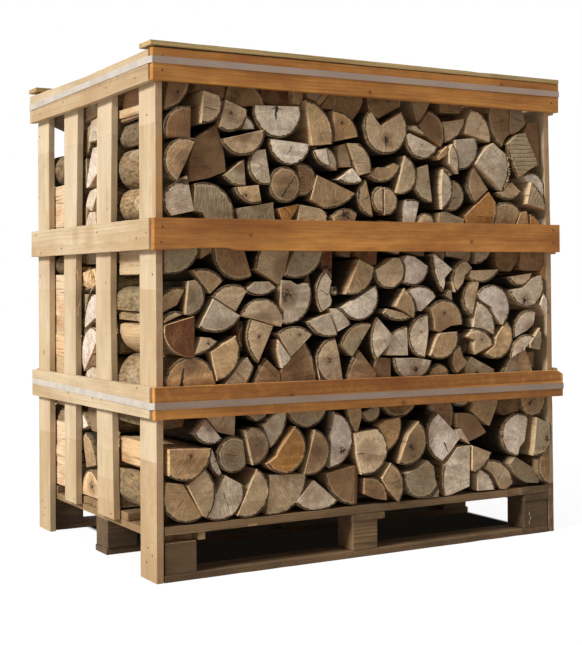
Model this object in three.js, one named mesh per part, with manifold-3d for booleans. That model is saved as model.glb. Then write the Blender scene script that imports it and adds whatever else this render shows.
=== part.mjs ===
// A pallet of beech firewood. A wooden pallet carries a crate of posts, slats and rails, nailed
// round three ranks of split logs and held by two straps. Sizes are in millimetres, +Z is up, +X
// runs along the front and +Y to the back. While it is built, the crate has its near left corner
// at the zero point. At the end it is moved so that the middle of its base is the origin.

import * as THREE from "three";
import { mergeVertices } from "three/addons/utils/BufferGeometryUtils.js";
import Module from "manifold-3d";

const wasm = await Module();
wasm.setup();

// Driving dimensions

const crateWidth = 1200; // over the outer faces of the side posts
const crateDepth = 815; // over the front and back faces of the posts
const boardThickness = 17.8; // of posts, slats and rails
const postWidth = 95;
const gap = 0.3; // left between pieces that touch
const leftPostHeight = 1236.7;
const rightPostHeight = 1240.8;
const farPostFront = 724;
const slatBottom = 107;
const slatMiddle = 640;
const slatTop = 1226;
const rightToeOut = 4; // the right side stands this much outside the width at the floor
const rightBow = 13; // and leans in by this much at the height below
const rightBowHeight = 1155;

const bottomBoardThickness = 17;
const crossBoardBottom = 91;
const deckBottom = 109;
const deckTop = 129;
const palletLeft = 20;
const palletRight = 1183;

const topBoardThickness = 12;
const topBoardLeftEnd = -20;
const topBoardRightEnd = 1212;
const topBoardLeftBottom = 1237; // it lies on the posts at the left and on the rail at the right
const topBoardRightBottom = 1241.3;
const topBoardWidth = 65;
const topBoardFronts = { front: -19, back: 771 };

const strapWidth = 16;
const strapThickness = 0.8;

const rankDepth = 255; // the length of a log
const middleRankFront = 262;
const middleRankDepth = 283;
const backRankFront = 550;
const pileLeft = 20;
const pileRight = 1181;
const logRoom = 1.5; // kept between the logs and the crate's boards
const logSwell = 1; // logs are this much fuller than the bare end that shows
const arcStep = THREE.MathUtils.degToRad(50); // of the round stretches of a log's outline
const roundLogSides = 10;
const reliefDepth = 80; // how far the log ends stand out of the pressed heart of a rank
const heartInset = 28; // how far the heart stays inside the outermost logs
const joinDepth = 5; // how far a log end runs into the heart
const leastSplitArea = 2000; // splits with a smaller end than this are left out, in square mm
const leastFarSplitArea = 3200; // and this holds for the ends at the back and the right

// Colours and finish of the materials

function finish(color, roughness) {
  return new THREE.MeshStandardMaterial({ color, roughness, metalness: 0 });
}

const sideWood = finish(0xe1c396, 0.7);
const railWood = finish(0xa5693b, 0.7);
const palletWood = finish(0x6f5a42, 0.85);
const weatheredWood = finish(0x8d8474, 0.85);
const strapPlastic = finish(0xd9d2dc, 0.45);
const beechWood = finish(0xb09478, 0.8);

// Solids from outlines. An outline is a list of [a, b] points.

function shapeOf(outline) {
  return new THREE.Shape(outline.map(([a, b]) => new THREE.Vector2(a, b)));
}

function extruded(shape, depth) {
  return new THREE.ExtrudeGeometry(shape, { depth, bevelEnabled: false });
}

// The outline is in X and Z, and the solid runs back from its front face
function alongY(outline, front, depth) {
  const geometry = extruded(shapeOf(outline), depth);
  geometry.rotateX(Math.PI / 2);
  geometry.translate(0, front + depth, 0);
  return geometry;
}

// The outline is in Y and Z, and the solid runs to the right from its left face
function alongX(outline, left, length) {
  const geometry = extruded(shapeOf(outline), length);
  const turn = new THREE.Matrix4().makeBasis(
    new THREE.Vector3(0, 1, 0),
    new THREE.Vector3(0, 0, 1),
    new THREE.Vector3(1, 0, 0),
  );
  geometry.applyMatrix4(turn);
  geometry.translate(left, 0, 0);
  return geometry;
}

// The outline is in X and Y, and the solid stands on its bottom face
function upwards(outline, bottom, height) {
  const geometry = extruded(shapeOf(outline), height);
  geometry.translate(0, 0, bottom);
  return geometry;
}

function block(low, high) {
  const size = high.map((value, axis) => value - low[axis]);
  const geometry = new THREE.BoxGeometry(...size);
  geometry.translate(...low.map((value, axis) => value + size[axis] / 2));
  return geometry;
}

function piece(name, geometry, material) {
  const mesh = new THREE.Mesh(geometry, material);
  mesh.name = name;
  return mesh;
}

// The pallet: bottom boards, blocks, cross boards and deck boards

const blockColumns = { left: [22, 103], middle: [540, 614], right: [1100, 1183] };
const blockRows = { front: [3, 75], middle: [352, 431], back: [735, 812] };
const bottomBoardRows = { front: [0, 80], middle: [355, 433], back: [737, 815] };
const middleRightBlockShift = -10; // this block sits further in than its neighbours

function bottomBoards() {
  return Object.entries(bottomBoardRows).map(([row, [front, back]]) =>
    piece(
      `pallet_bottom_board_${row}`,
      block([palletLeft, front, 0], [palletRight, back, bottomBoardThickness]),
      palletWood,
    ),
  );
}

function palletBlocks() {
  const blocks = [];
  for (const [row, [front, back]] of Object.entries(blockRows)) {
    for (const [column, [left, right]] of Object.entries(blockColumns)) {
      const shift = row === "middle" && column === "right" ? middleRightBlockShift : 0;
      const low = [left + shift, front, bottomBoardThickness + gap];
      const high = [right + shift, back, crossBoardBottom - gap];
      blocks.push(piece(`pallet_block_${row}_${column}`, block(low, high), palletWood));
    }
  }
  return blocks;
}

// The left cross board has lost most of its front end, down to a rough remnant
const crossBoardOutlines = {
  left: [
    [20, 38], [45, 26], [66, 41], [88, 24], [105, 30], [107, 4], [125, 2], [125, 815], [20, 815],
  ],
  middle: [[535, 0], [635, 0], [635, 815], [535, 815]],
  right: [[1098, 0], [1183, 0], [1183, 815], [1098, 815]],
};

// The front deck board has a wane in its front edge, and the middle one a splintered left end
const deckBoardOutlines = [
  [
    [20, 0], [1036, 0], [1058, 5], [1080, 4], [1096, 0], [1183, 0], [1183, 98], [22, 98],
  ],
  [[20, 216], [1180, 216], [1180, 298], [20, 298]],
  [
    [24, 415], [1182, 415], [1182, 520], [21, 520], [30, 502], [24, 486], [36, 470],
    [22, 455], [33, 440], [20, 428],
  ],
  [[22, 565], [1181, 565], [1181, 642], [22, 642]],
  [[20, 717], [1183, 717], [1183, 815], [20, 815]],
];

function crossBoards() {
  const height = deckBottom - gap - crossBoardBottom;
  return Object.entries(crossBoardOutlines).map(([side, outline]) =>
    piece(`pallet_cross_board_${side}`, upwards(outline, crossBoardBottom, height), palletWood),
  );
}

function deckBoards() {
  return deckBoardOutlines.map((outline, index) =>
    piece(
      `pallet_deck_board_${index + 1}`,
      upwards(outline, deckBottom, deckTop - deckBottom),
      palletWood,
    ),
  );
}

// The crate's uprights. The right side leans in towards its top.

function rightFace(z) {
  return crateWidth + rightToeOut - rightBow * (z / rightBowHeight) ** 2;
}

function rightUpright(name, front, back, bottom, top) {
  const levels = [0, 1 / 3, 2 / 3, 1].map((share) => bottom + share * (top - bottom));
  const outer = levels.map((z) => [rightFace(z), z]);
  const inner = levels.map((z) => [rightFace(z) - boardThickness, z]).reverse();
  return piece(name, alongY([...outer, ...inner], front, back - front), sideWood);
}

function posts() {
  const left = (name, front, back) =>
    piece(name, block([0, front, 0], [boardThickness, back, leftPostHeight]), sideWood);
  return [
    left("post_front_left", 0, postWidth),
    left("post_back_left", farPostFront, crateDepth),
    rightUpright("post_front_right", 0, postWidth, 0, rightPostHeight),
    rightUpright("post_back_right", farPostFront, crateDepth, 0, rightPostHeight),
  ];
}

// Front and back edge of each slat. The left ones are crooked: at the bottom, the middle, the top.
const leftSlatEdges = {
  front: [[258, 368], [277, 375], [261, 356]],
  back: [[520, 605], [520, 608], [494, 599]],
};
const rightSlatEdges = { front: [264, 362], back: [508, 604] };

function sideSlats() {
  const slats = [];
  for (const [place, [atBottom, atMiddle, atTop]] of Object.entries(leftSlatEdges)) {
    const outline = [
      [atBottom[0], slatBottom],
      [atBottom[1], slatBottom],
      [atMiddle[1], slatMiddle],
      [atTop[1], slatTop],
      [atTop[0], slatTop],
      [atMiddle[0], slatMiddle],
    ];
    slats.push(piece(`slat_left_${place}`, alongX(outline, 0, boardThickness), sideWood));
  }
  for (const [place, [front, back]] of Object.entries(rightSlatEdges)) {
    slats.push(rightUpright(`slat_right_${place}`, front, back, slatBottom, slatTop));
  }
  return slats;
}

// The rails, in three levels on each side. The front ones cover the ends of the side ones, and
// the side ones cover the ends of the back ones.

const frontRailOutlines = {
  low: [[-11, 378], [1224, 376], [1224, 438], [1205, 448], [-11, 454]],
  middle: [
    [-12, 768], [60, 771], [120, 775], [180, 775], [205, 769], [1215, 775], [1215, 852], [-12, 843],
  ],
  top: [[-14, 1158], [1212, 1162], [1212, 1241], [-14, 1233]],
};

const leftRailOutlines = {
  low: [[gap, 381], [821, 376], [821, 450], [gap, 454]],
  middle: [[gap, 770], [824, 770], [824, 843], [gap, 843]],
  top: [[gap, 1157], [400, 1151], [832, 1153], [832, 1230], [400, 1224], [gap, 1231]],
};

// Bottom and top edges at the left end, then at the right end
const backRailHeights = {
  low: [380, 452, 378, 451],
  middle: [771, 846, 773, 848],
  top: [1156, 1232, 1158, 1235],
};

function lowestOf(outline) {
  return Math.min(...outline.map(([, z]) => z));
}

function highestOf(outline) {
  return Math.max(...outline.map(([, z]) => z));
}

function frontRails() {
  const depth = boardThickness - gap;
  return Object.entries(frontRailOutlines).map(([level, outline]) =>
    piece(`rail_front_${level}`, alongY(outline, -boardThickness, depth), railWood),
  );
}

function sideRails() {
  const thickness = boardThickness - gap;
  const rails = [];
  for (const [level, outline] of Object.entries(leftRailOutlines)) {
    const left = alongX(outline, -boardThickness, thickness);
    const right = alongX(outline, rightFace(lowestOf(outline)) + gap, thickness);
    rails.push(piece(`rail_left_${level}`, left, sideWood));
    rails.push(piece(`rail_right_${level}`, right, sideWood));
  }
  return rails;
}

function backRails() {
  return Object.entries(backRailHeights).map(([level, [leftLow, leftHigh, rightLow, rightHigh]]) => {
    const rightEnd = rightFace(rightHigh) - gap;
    const outline = [[gap, leftLow], [rightEnd, rightLow], [rightEnd, rightHigh], [gap, leftHigh]];
    return piece(`rail_back_${level}`, alongY(outline, crateDepth + gap, boardThickness), railWood);
  });
}

function topBoards() {
  const outline = [
    [topBoardLeftEnd, topBoardLeftBottom],
    [topBoardRightEnd, topBoardRightBottom],
    [topBoardRightEnd, topBoardRightBottom + topBoardThickness],
    [topBoardLeftEnd, topBoardLeftBottom + topBoardThickness],
  ];
  return Object.entries(topBoardFronts).map(([place, front]) =>
    piece(`top_board_${place}`, alongY(outline, front, topBoardWidth), weatheredWood),
  );
}

// The straps, each a tight band round the rails of one level. A strap is a little out of level:
// its height at the near left corner, then its rise to the right and to the back.
const strapLevels = { upper: [1205, 8, -7.5], lower: [410.5, -5.5, 7.5] };

function aroundRails(level) {
  const frontEnds = frontRailOutlines[level].map(([x]) => x);
  const sideOutline = leftRailOutlines[level];
  const sideEnd = Math.max(...sideOutline.map(([y]) => y));
  const front = -boardThickness;
  const back = crateDepth + gap + boardThickness;
  return [
    [Math.min(...frontEnds), front],
    [Math.max(...frontEnds), front],
    [rightFace(lowestOf(sideOutline)) + boardThickness, sideEnd],
    [rightFace(backRailHeights[level].at(-1)), back],
    [0, back],
    [front, sideEnd],
    [front, 0],
  ];
}

function moveOut(outline, distance) {
  return outline.map(([x, y], index) => {
    const [beforeX, beforeY] = outline.at(index - 1);
    const [afterX, afterY] = outline[(index + 1) % outline.length];
    const before = new THREE.Vector2(y - beforeY, beforeX - x).normalize();
    const after = new THREE.Vector2(afterY - y, x - afterX).normalize();
    const out = before.clone().add(after);
    out.multiplyScalar(distance / (1 + before.dot(after)));
    return [x + out.x, y + out.y];
  });
}

function strap(name, outline, [height, riseToRight, riseToBack]) {
  const inner = moveOut(outline, gap);
  const shape = shapeOf(moveOut(inner, strapThickness));
  shape.holes.push(new THREE.Path(shapeOf(inner).getPoints().reverse()));
  const geometry = extruded(shape, strapWidth);
  const tilt = new THREE.Matrix4().set(
    1, 0, 0, 0,
    0, 1, 0, 0,
    riseToRight / crateWidth, riseToBack / crateDepth, 1, height - strapWidth / 2,
    0, 0, 0, 1,
  );
  geometry.applyMatrix4(tilt);
  return piece(name, geometry, strapPlastic);
}

function straps() {
  return [
    strap("strap_upper", aroundRails("top"), strapLevels.upper),
    strap("strap_lower", aroundRails("low"), strapLevels.lower),
  ];
}

// Split logs. A row holds how far the log's end is set back, the bulge of its bark and its
// corners, counter-clockwise. The bark is an arc from the last corner to the first, and its bulge
// is its height over half its chord. A row with one corner is a round log: the bulge is its radius.

// Logs of the front rank from the deck to the low rail, with their corners in X and Z
const lowLogs = [
  [2, 0.77, 118, 144, 68, 224, 22, 232],
  [-9, 0.65, 137, 303, 28, 309, 28, 248],
  [-4, 0.42, 124, 256, 77, 220, 117, 147, 128, 142],
  [2, 0.7, 228, 208, 180, 236, 143, 172, 122, 145],
  [0, 1.02, 264, 245, 209, 138],
  [0, 2.3, 233, 256, 226, 319],
  [10, 0.42, 162, 234, 172, 241, 147, 303],
  [-6, 1.3, 228, 341, 249, 256],
  [0, 0.44, 170, 322, 128, 371, 98, 337],
  [8, 0.2, 138, 400, 134, 373, 163, 340, 207, 327, 211, 400],
  [30, 0.3, 20, 350, 82, 356, 92, 402, 20, 408],
  [6, 0.35, 346, 404, 320, 376, 283, 347, 307, 293],
  [12, 0.9, 304, 387, 237, 389],
  [-9, 1.05, 367, 342, 322, 288, 312, 272, 284, 257, 300, 241],
  [-7, 1.05, 423, 331, 391, 223],
  [4, 0.82, 468, 386, 346, 386],
  [0, 0.87, 484, 371, 474, 300, 470, 231],
  [3, 0.34, 545, 131, 546, 231, 456, 218],
  [12, 0.1, 549, 133, 558, 134, 561, 236, 551, 232],
  [3, 0.39, 495, 147, 425, 205, 372, 155],
  [4, 0.5, 403, 222, 302, 227, 293, 131],
  [8, 0.12, 545, 316, 559, 316, 571, 353, 566, 404, 518, 404],
  [8, 1.2, 624, 380, 571, 362],
  [-5, 0.86, 612, 320, 541, 313, 548, 258, 563, 208],
  [0, 0.36, 606, 197, 575, 197, 573, 158, 610, 142, 642, 137],
  [-6, 0.5, 651, 231, 622, 194, 643, 162, 676, 131],
  [6, 0.4, 690, 345, 640, 338, 620, 326, 640, 296, 643, 257],
  [-9, 0.93, 736, 333, 704, 300, 673, 229],
  [-3, 0.42, 740, 133, 803, 131, 806, 146, 793, 180, 788, 212, 768, 229, 733, 209, 696, 200],
  [0, 0.61, 815, 222, 840, 243, 878, 281, 803, 351],
  [16, 0.2, 850, 394, 804, 394, 806, 354, 858, 301, 868, 338],
  [0, 0.15, 825, 131, 845, 131, 909, 149, 909, 258, 868, 256, 826, 210],
  [-2, 0.05, 910, 262, 880, 304, 862, 301, 866, 290, 880, 282],
  [8, 0.05, 972, 289, 935, 334, 912, 343, 873, 344, 872, 308, 886, 303, 914, 268],
  [-5, 0.2, 980, 234, 915, 258, 914, 190, 930, 187],
  [3, 0.3, 948, 192, 938, 180, 939, 134, 997, 133],
  [40, 0.1, 914, 145, 934, 140, 934, 186, 914, 184],
  [2, 0.37, 975, 214, 964, 192, 988, 178, 1004, 158, 1016, 133, 1036, 131, 1062, 146],
  [2, 1.05, 1076, 218, 1083, 241, 1101, 257, 1116, 325, 1088, 333],
  [-12, 0.66, 1181, 303, 1160, 310, 1136, 321, 1130, 280, 1121, 217],
  [-10, 0.7, 1166, 140, 1181, 136, 1181, 239],
  [10, 0.2, 1160, 168, 1105, 198, 1075, 215, 1056, 195, 1075, 165, 1110, 142, 1156, 136],
  [6, 46, 1135, 368],
  [14, 0.1, 1040, 330, 1092, 338, 1092, 404, 1026, 404, 1022, 350],
  [8, 0.05, 985, 305, 1012, 365, 1010, 404, 946, 404, 925, 347],
  [14, 0.66, 746, 382, 634, 380],
  [16, 0.4, 925, 374, 866, 372],
];

// Between the low rail and the middle one
const middleLogs = [
  [0, 0.57, 112, 806, 24, 806, 24, 716],
  [0, 0.34, 97, 723, 140, 668, 174, 699],
  [4, 0.56, 253, 709, 222, 806, 158, 806, 150, 762],
  [4, 0.5, 264, 727, 329, 689, 344, 714, 368, 806],
  [4, 0.6, 456, 800, 394, 806, 344, 710],
  [10, 0.3, 20, 662, 20, 624, 58, 642, 79, 681],
  [0, 0.66, 104, 700, 84, 697, 75, 619, 92, 617],
  [4, 0.36, 20, 611, 21, 599, 50, 612, 74, 622],
  [-2, 0.39, 96, 521, 98, 615, 21, 595, 20, 575],
  [0, 0.42, 222, 613, 148, 656, 110, 589],
  [0, 0.42, 146, 661, 208, 625, 240, 677],
  [3, 0.3, 322, 680, 300, 696, 262, 695, 240, 678, 240, 669],
  [0, 0.76, 222, 615, 331, 586, 339, 606],
  [2, 0.53, 413, 690, 398, 692, 382, 686, 360, 697, 334, 700, 333, 640, 341, 622, 338, 597, 352, 591],
  [0, 0.41, 448, 620, 474, 636, 478, 648, 470, 668, 477, 697, 459, 722],
  [30, 0.2, 496, 700, 500, 806, 462, 806, 466, 730, 484, 690],
  [8, 0.5, 500, 664, 496, 682, 484, 682, 486, 664],
  [-9, 0.5, 599, 731, 556, 751, 514, 664],
  [-2, 0.98, 611, 684, 504, 629],
  [-2, 0.36, 493, 561, 471, 617, 405, 596],
  [0, 0.2, 500, 627, 472, 629, 475, 615, 496, 570, 533, 588],
  [2, 0.36, 325, 571, 359, 510, 423, 566],
  [-2, 0.05, 358, 508, 323, 555, 320, 530, 334, 485],
  [6, 0.2, 404, 547, 334, 476, 344, 418, 432, 418],
  [6, 0.15, 246, 418, 338, 418, 332, 474, 312, 492, 292, 510],
  [-2, 0.12, 258, 489, 241, 514, 224, 500, 172, 444, 228, 436],
  [0, 0.55, 208, 566, 141, 530, 157, 461],
  [0, 0.2, 158, 554, 140, 563, 116, 566, 98, 523],
  [0, 1.11, 24, 448, 155, 448],
  [0, 0.35, 269, 500, 310, 588, 246, 605],
  [2, 0.5, 437, 480, 452, 418, 518, 418, 500, 518, 489, 555],
  [0, 0.42, 505, 538, 540, 508, 560, 535, 597, 588],
  [4, 0.15, 521, 440, 612, 420, 611, 464, 561, 523],
  [0, 0.32, 612, 496, 652, 535, 662, 557, 614, 604],
  [4, 0.12, 664, 560, 645, 506, 712, 504, 709, 580],
  [2, 0.97, 764, 495, 772, 530, 777, 565, 775, 609],
  [-4, 1.25, 691, 748, 686, 756, 660, 756, 604, 719],
  [-3, 0.55, 775, 733, 730, 759, 706, 763, 694, 750, 703, 736, 697, 691],
  [-8, 0.38, 694, 677, 667, 631, 698, 618, 725, 602],
  [-2, 0.3, 717, 601, 690, 615, 642, 626, 632, 614],
  [0, 0.43, 708, 672, 730, 650, 743, 619, 753, 618, 802, 656],
  [2, 0.71, 784, 628, 797, 598, 798, 568, 816, 562, 850, 578, 889, 581],
  [-5, 0.7, 867, 562, 812, 559, 800, 548, 779, 502],
  [-3, 0.2, 825, 668, 833, 692, 832, 704, 857, 728, 798, 768, 792, 762],
  [6, 0.2, 832, 660, 858, 645, 856, 670, 842, 674],
  [0, 0.42, 855, 695, 863, 667, 872, 673, 890, 691, 897, 712, 922, 731, 899, 752],
  [2, 0.35, 1016, 727, 920, 724, 914, 708, 924, 697],
  [0, 0.57, 919, 602, 944, 690, 938, 694, 914, 693],
  [-4, 1.1, 938, 664, 946, 648, 962, 636, 982, 628, 1004, 595, 1023, 577],
  [0, 0.41, 940, 641, 930, 612, 925, 573, 960, 568, 997, 552],
  [0, 0.38, 922, 567, 904, 548, 930, 538, 926, 516, 932, 500, 992, 525],
  [2, 0.6, 870, 449, 908, 478, 890, 497, 880, 525],
  [34, 24, 905, 515],
  [0, 0.97, 1043, 585, 1020, 566, 1004, 548, 997, 522, 963, 500],
  [-2, 0.69, 1127, 716, 1046, 706],
  [-2, 1.15, 1162, 711, 1126, 702, 1095, 678, 1054, 669],
  [-6, 0.42, 1166, 661, 1154, 630, 1166, 618, 1181, 599],
  [4, 0.1, 1162, 718, 1172, 704, 1180, 698, 1180, 742],
  [10, 0.2, 1104, 806, 1092, 730, 1105, 725, 1160, 724, 1180, 742, 1180, 806],
  [12, 0.2, 1006, 806, 1012, 738, 1036, 723, 1064, 723, 1098, 766, 1098, 806],
  [12, 0.45, 1000, 806, 938, 806, 944, 742],
  [0, 0.6, 1064, 541, 1110, 560, 1134, 577, 1142, 613],
  [-2, 0.62, 1052, 486, 1095, 506, 1137, 541],
  [-6, 0.3, 1152, 566, 1116, 524, 1118, 514, 1152, 506],
  [6, 0.15, 1022, 420, 1084, 420, 1079, 497, 1052, 487],
  [6, 0.1, 1088, 418, 1146, 418, 1122, 478, 1116, 498, 1102, 511, 1086, 500],
  [20, 0.3, 1150, 452, 1152, 500, 1120, 500, 1126, 478],
  [8, 0.1, 1000, 457, 925, 493, 902, 464, 905, 418, 996, 418],
  [2, 0.92, 785, 488, 740, 496, 668, 498],
  [6, 1.1, 779, 440, 849, 440],
  [8, 0.1, 618, 498, 606, 470, 616, 418, 661, 418, 661, 497],
  [16, 0.1, 562, 806, 564, 760, 600, 736, 622, 738, 630, 806],
  [20, 0.1, 512, 806, 518, 764, 545, 757, 556, 806],
  [10, 0.15, 118, 806, 122, 750, 150, 768, 152, 806],
  [30, 0.2, 430, 640, 434, 690, 428, 716, 414, 690, 416, 650],
  [24, 0.2, 236, 530, 240, 600, 226, 600, 222, 560],
  [10, 0.2, 700, 806, 640, 806, 634, 776, 690, 766],
  [24, 0.2, 740, 806, 706, 806, 710, 772, 780, 762, 786, 806],
  [20, 0.2, 836, 806, 800, 806, 804, 776, 842, 750],
  [20, 0.2, 930, 806, 844, 806, 850, 762, 884, 760, 926, 748],
];

// Between the middle rail and the top one
const highLogs = [
  [6, 0.37, 92, 1180, 40, 1182, 25, 1098, 32, 1095],
  [0, 0.25, 27, 1074, 26, 1032, 90, 1034, 91, 1106, 76, 1106],
  [-8, 0.5, 169, 1120, 167, 1133, 120, 1144, 115, 1068],
  [12, 0.1, 188, 1190, 108, 1186, 112, 1150, 122, 1147, 170, 1136, 182, 1132],
  [-5, 0.65, 238, 1107, 181, 1127, 163, 1061],
  [4, 0.3, 242, 1093, 230, 1062, 264, 1064],
  [10, 0.35, 200, 1186, 185, 1131, 222, 1116, 296, 1124],
  [0, 1.2, 389, 1126, 259, 1120],
  [0, 0.99, 416, 1034, 301, 1042],
  [-3, 0.82, 288, 1063, 169, 1033],
  [0, 0.85, 54, 928, 104, 1030, 84, 1032],
  [8, 0.1, 160, 1068, 108, 1034, 92, 984, 90, 930, 140, 940, 186, 958],
  [0, 0.58, 38, 848, 100, 862, 82, 944, 52, 926],
  [4, 0.56, 104, 926, 99, 862, 124, 858, 146, 815, 206, 840],
  [4, 0.3, 238, 925, 234, 988, 178, 948],
  [-3, 0.41, 277, 886, 270, 928, 206, 920],
  [0, 0.84, 304, 932, 299, 970, 291, 1016, 262, 1011],
  [6, 0.2, 322, 815, 313, 888, 213, 870, 226, 815],
  [34, 0.1, 370, 1190, 298, 1190, 299, 1130, 370, 1130],
  [12, 0.1, 404, 1184, 374, 1186, 375, 1132, 392, 1132, 402, 1146],
  [-6, 0.45, 402, 1142, 411, 1085, 420, 1031, 477, 1038],
  [-2, 0.42, 483, 1122, 491, 1046, 557, 1061],
  [8, 0.1, 412, 1184, 418, 1150, 440, 1143, 458, 1158, 466, 1186],
  [-2, 0.1, 448, 1134, 492, 1182, 474, 1184, 438, 1140],
  [14, 0.1, 582, 1150, 582, 1188, 500, 1186, 456, 1130, 522, 1122, 546, 1100],
  [-3, 2.1, 691, 1131, 626, 1091, 596, 1124, 588, 1127],
  [14, 0.15, 700, 1184, 592, 1188, 599, 1130, 620, 1108, 700, 1150],
  [-2, 0.85, 806, 1046, 768, 1062, 716, 1079, 704, 1072],
  [3, 0.35, 720, 1101, 716, 1092, 770, 1077],
  [4, 0.55, 786, 1142, 752, 1102, 772, 1077, 822, 1049],
  [14, 0.1, 800, 1186, 734, 1188, 738, 1156, 752, 1110, 764, 1118],
  [6, 0.3, 906, 1130, 858, 1120, 826, 1116, 839, 1062],
  [14, 0.1, 826, 1188, 826, 1142, 892, 1143, 896, 1186],
  [0, 0.55, 936, 1074, 925, 1077, 866, 1070, 865, 1055, 879, 991],
  [-6, 0.3, 851, 1057, 841, 1036, 843, 1006, 872, 980],
  [-2, 0.1, 838, 1052, 806, 1024, 812, 1014, 838, 1030],
  [12, 0.3, 838, 998, 828, 990, 846, 973, 866, 978],
  [-2, 0.44, 926, 1156, 909, 1130, 903, 1090, 988, 1071],
  [8, 0.33, 1030, 1060, 1042, 1084, 1058, 1096, 1056, 1186, 984, 1188, 984, 1150],
  [6, 0.1, 1062, 1100, 1070, 1097, 1090, 1107, 1113, 1128, 1096, 1184, 1066, 1184],
  [-2, 0.15, 1082, 977, 1122, 1002, 1148, 1016, 1146, 1030, 1114, 1084, 1105, 1101, 1078, 1097, 1044, 1068],
  [8, 0.1, 1152, 1018, 1164, 1012, 1164, 1060, 1156, 1136, 1124, 1132, 1109, 1104, 1118, 1086, 1149, 1032],
  [-3, 0.3, 1036, 1040, 1010, 1055, 992, 1068, 972, 1057, 948, 1033, 931, 1009, 958, 990, 1024, 942],
  [4, 0.43, 933, 906, 980, 942, 928, 1003],
  [2, 0.44, 1094, 939, 1062, 964, 1048, 957, 1030, 938, 1004, 935],
  [4, 0.75, 1108, 988, 1105, 983, 1118, 969, 1144, 957, 1164, 937, 1174, 924],
  [-8, 0.25, 1120, 966, 1106, 907, 1176, 892],
  [0, 0.2, 1008, 905, 983, 936, 901, 869, 918, 815, 980, 820],
  [4, 0.36, 1010, 902, 1006, 876, 992, 815, 1056, 820, 1091, 888],
  [-1, 0.1, 1114, 887, 1092, 884, 1064, 815, 1118, 815],
  [4, 0.4, 1128, 879, 1126, 815, 1174, 820],
  [-3, 0.15, 708, 907, 698, 882, 702, 815, 726, 815, 742, 872, 750, 903],
  [0, 0.8, 633, 869, 631, 937, 622, 937],
  [0, 1.18, 638, 936, 637, 865],
  [4, 0.5, 691, 992, 672, 1000, 650, 986, 620, 987, 590, 962],
  [0, 0.77, 702, 1020, 694, 990, 675, 923, 700, 921],
  [2, 0.3, 790, 902, 778, 1001, 745, 988, 737, 934],
  [-5, 0.64, 821, 990, 815, 940, 818, 885],
  [4, 1.05, 864, 962, 857, 940, 855, 908, 844, 883],
  [4, 1.02, 740, 842, 802, 842],
  [6, 0.1, 820, 815, 896, 815, 898, 861, 866, 870, 838, 880, 818, 876],
  [-3, 0.38, 471, 982, 462, 1026, 424, 1020],
  [2, 0.4, 467, 1029, 475, 983, 496, 974],
  [6, 0.1, 521, 1041, 506, 1036, 502, 1012, 506, 983, 540, 985],
  [0, 0.31, 561, 1044, 527, 1043, 561, 963, 599, 974],
  [-2, 0.24, 571, 948, 540, 980, 496, 950],
  [2, 0.22, 551, 917, 438, 959, 420, 898, 464, 877],
  [0, 44, 345, 932],
  [6, 1.35, 383, 984, 392, 946, 389, 908],
  [2, 0.72, 604, 859, 594, 910, 582, 953],
  [0, 0.4, 484, 862, 494, 820, 540, 815, 557, 868],
  [3, 0.2, 466, 866, 448, 876, 390, 885, 376, 815, 456, 815],
  [4, 0.02, 386, 886, 327, 873, 350, 826],
  [24, 0.1, 636, 815, 690, 815, 690, 850, 640, 854],
  [24, 0.1, 566, 815, 620, 815, 616, 852, 580, 850],
];

// Half logs laid on top of the pile, flat side down
const topLogs = [
  [4, 0.75, 36, 1178, 142, 1180],
  [8, 0.65, 150, 1179, 266, 1176],
  [2, 0.7, 278, 1180, 378, 1178],
  [6, 0.65, 390, 1178, 502, 1180],
  [3, 0.7, 512, 1179, 616, 1182],
  [8, 0.7, 624, 1182, 732, 1180],
  [5, 0.65, 742, 1180, 850, 1183],
  [4, 0.6, 860, 1184, 976, 1180],
  [6, 0.7, 988, 1182, 1092, 1179],
  [9, 0.6, 1098, 1178, 1162, 1176],
];

// The left end of the back rank, which shows between the slats. The first log hangs over the low
// corner of the pile.
const leftEndLogs = [
  [8, 0.1, 20, 1150, 110, 1116, 158, 1124, 158, 1186, 20, 1188],
  [4, 46, 66, 1013],
  [0, 0.45, 21, 964, 21, 852, 104, 852],
  [4, 0.5, 21, 853, 21, 776, 98, 774],
  [4, 29, 49, 747],
  [0, 0.4, 21, 719, 21, 605, 112, 605],
  [0, 0.3, 21, 606, 21, 552, 116, 551],
  [0, 0.3, 21, 553, 21, 494, 112, 494],
  [0, 0.4, 21, 495, 21, 446, 104, 446],
  [4, 0.5, 21, 447, 21, 358, 98, 357],
  [4, 0.98, 24, 309, 122, 309],
  [0, 0.25, 21, 310, 21, 241, 122, 240],
  [0, 0.2, 21, 242, 21, 213, 122, 212],
  [0, 0.4, 21, 214, 21, 134, 122, 133],
];
const leftEndWidth = 78; // the other logs of the back rank stay to the right of this

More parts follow.
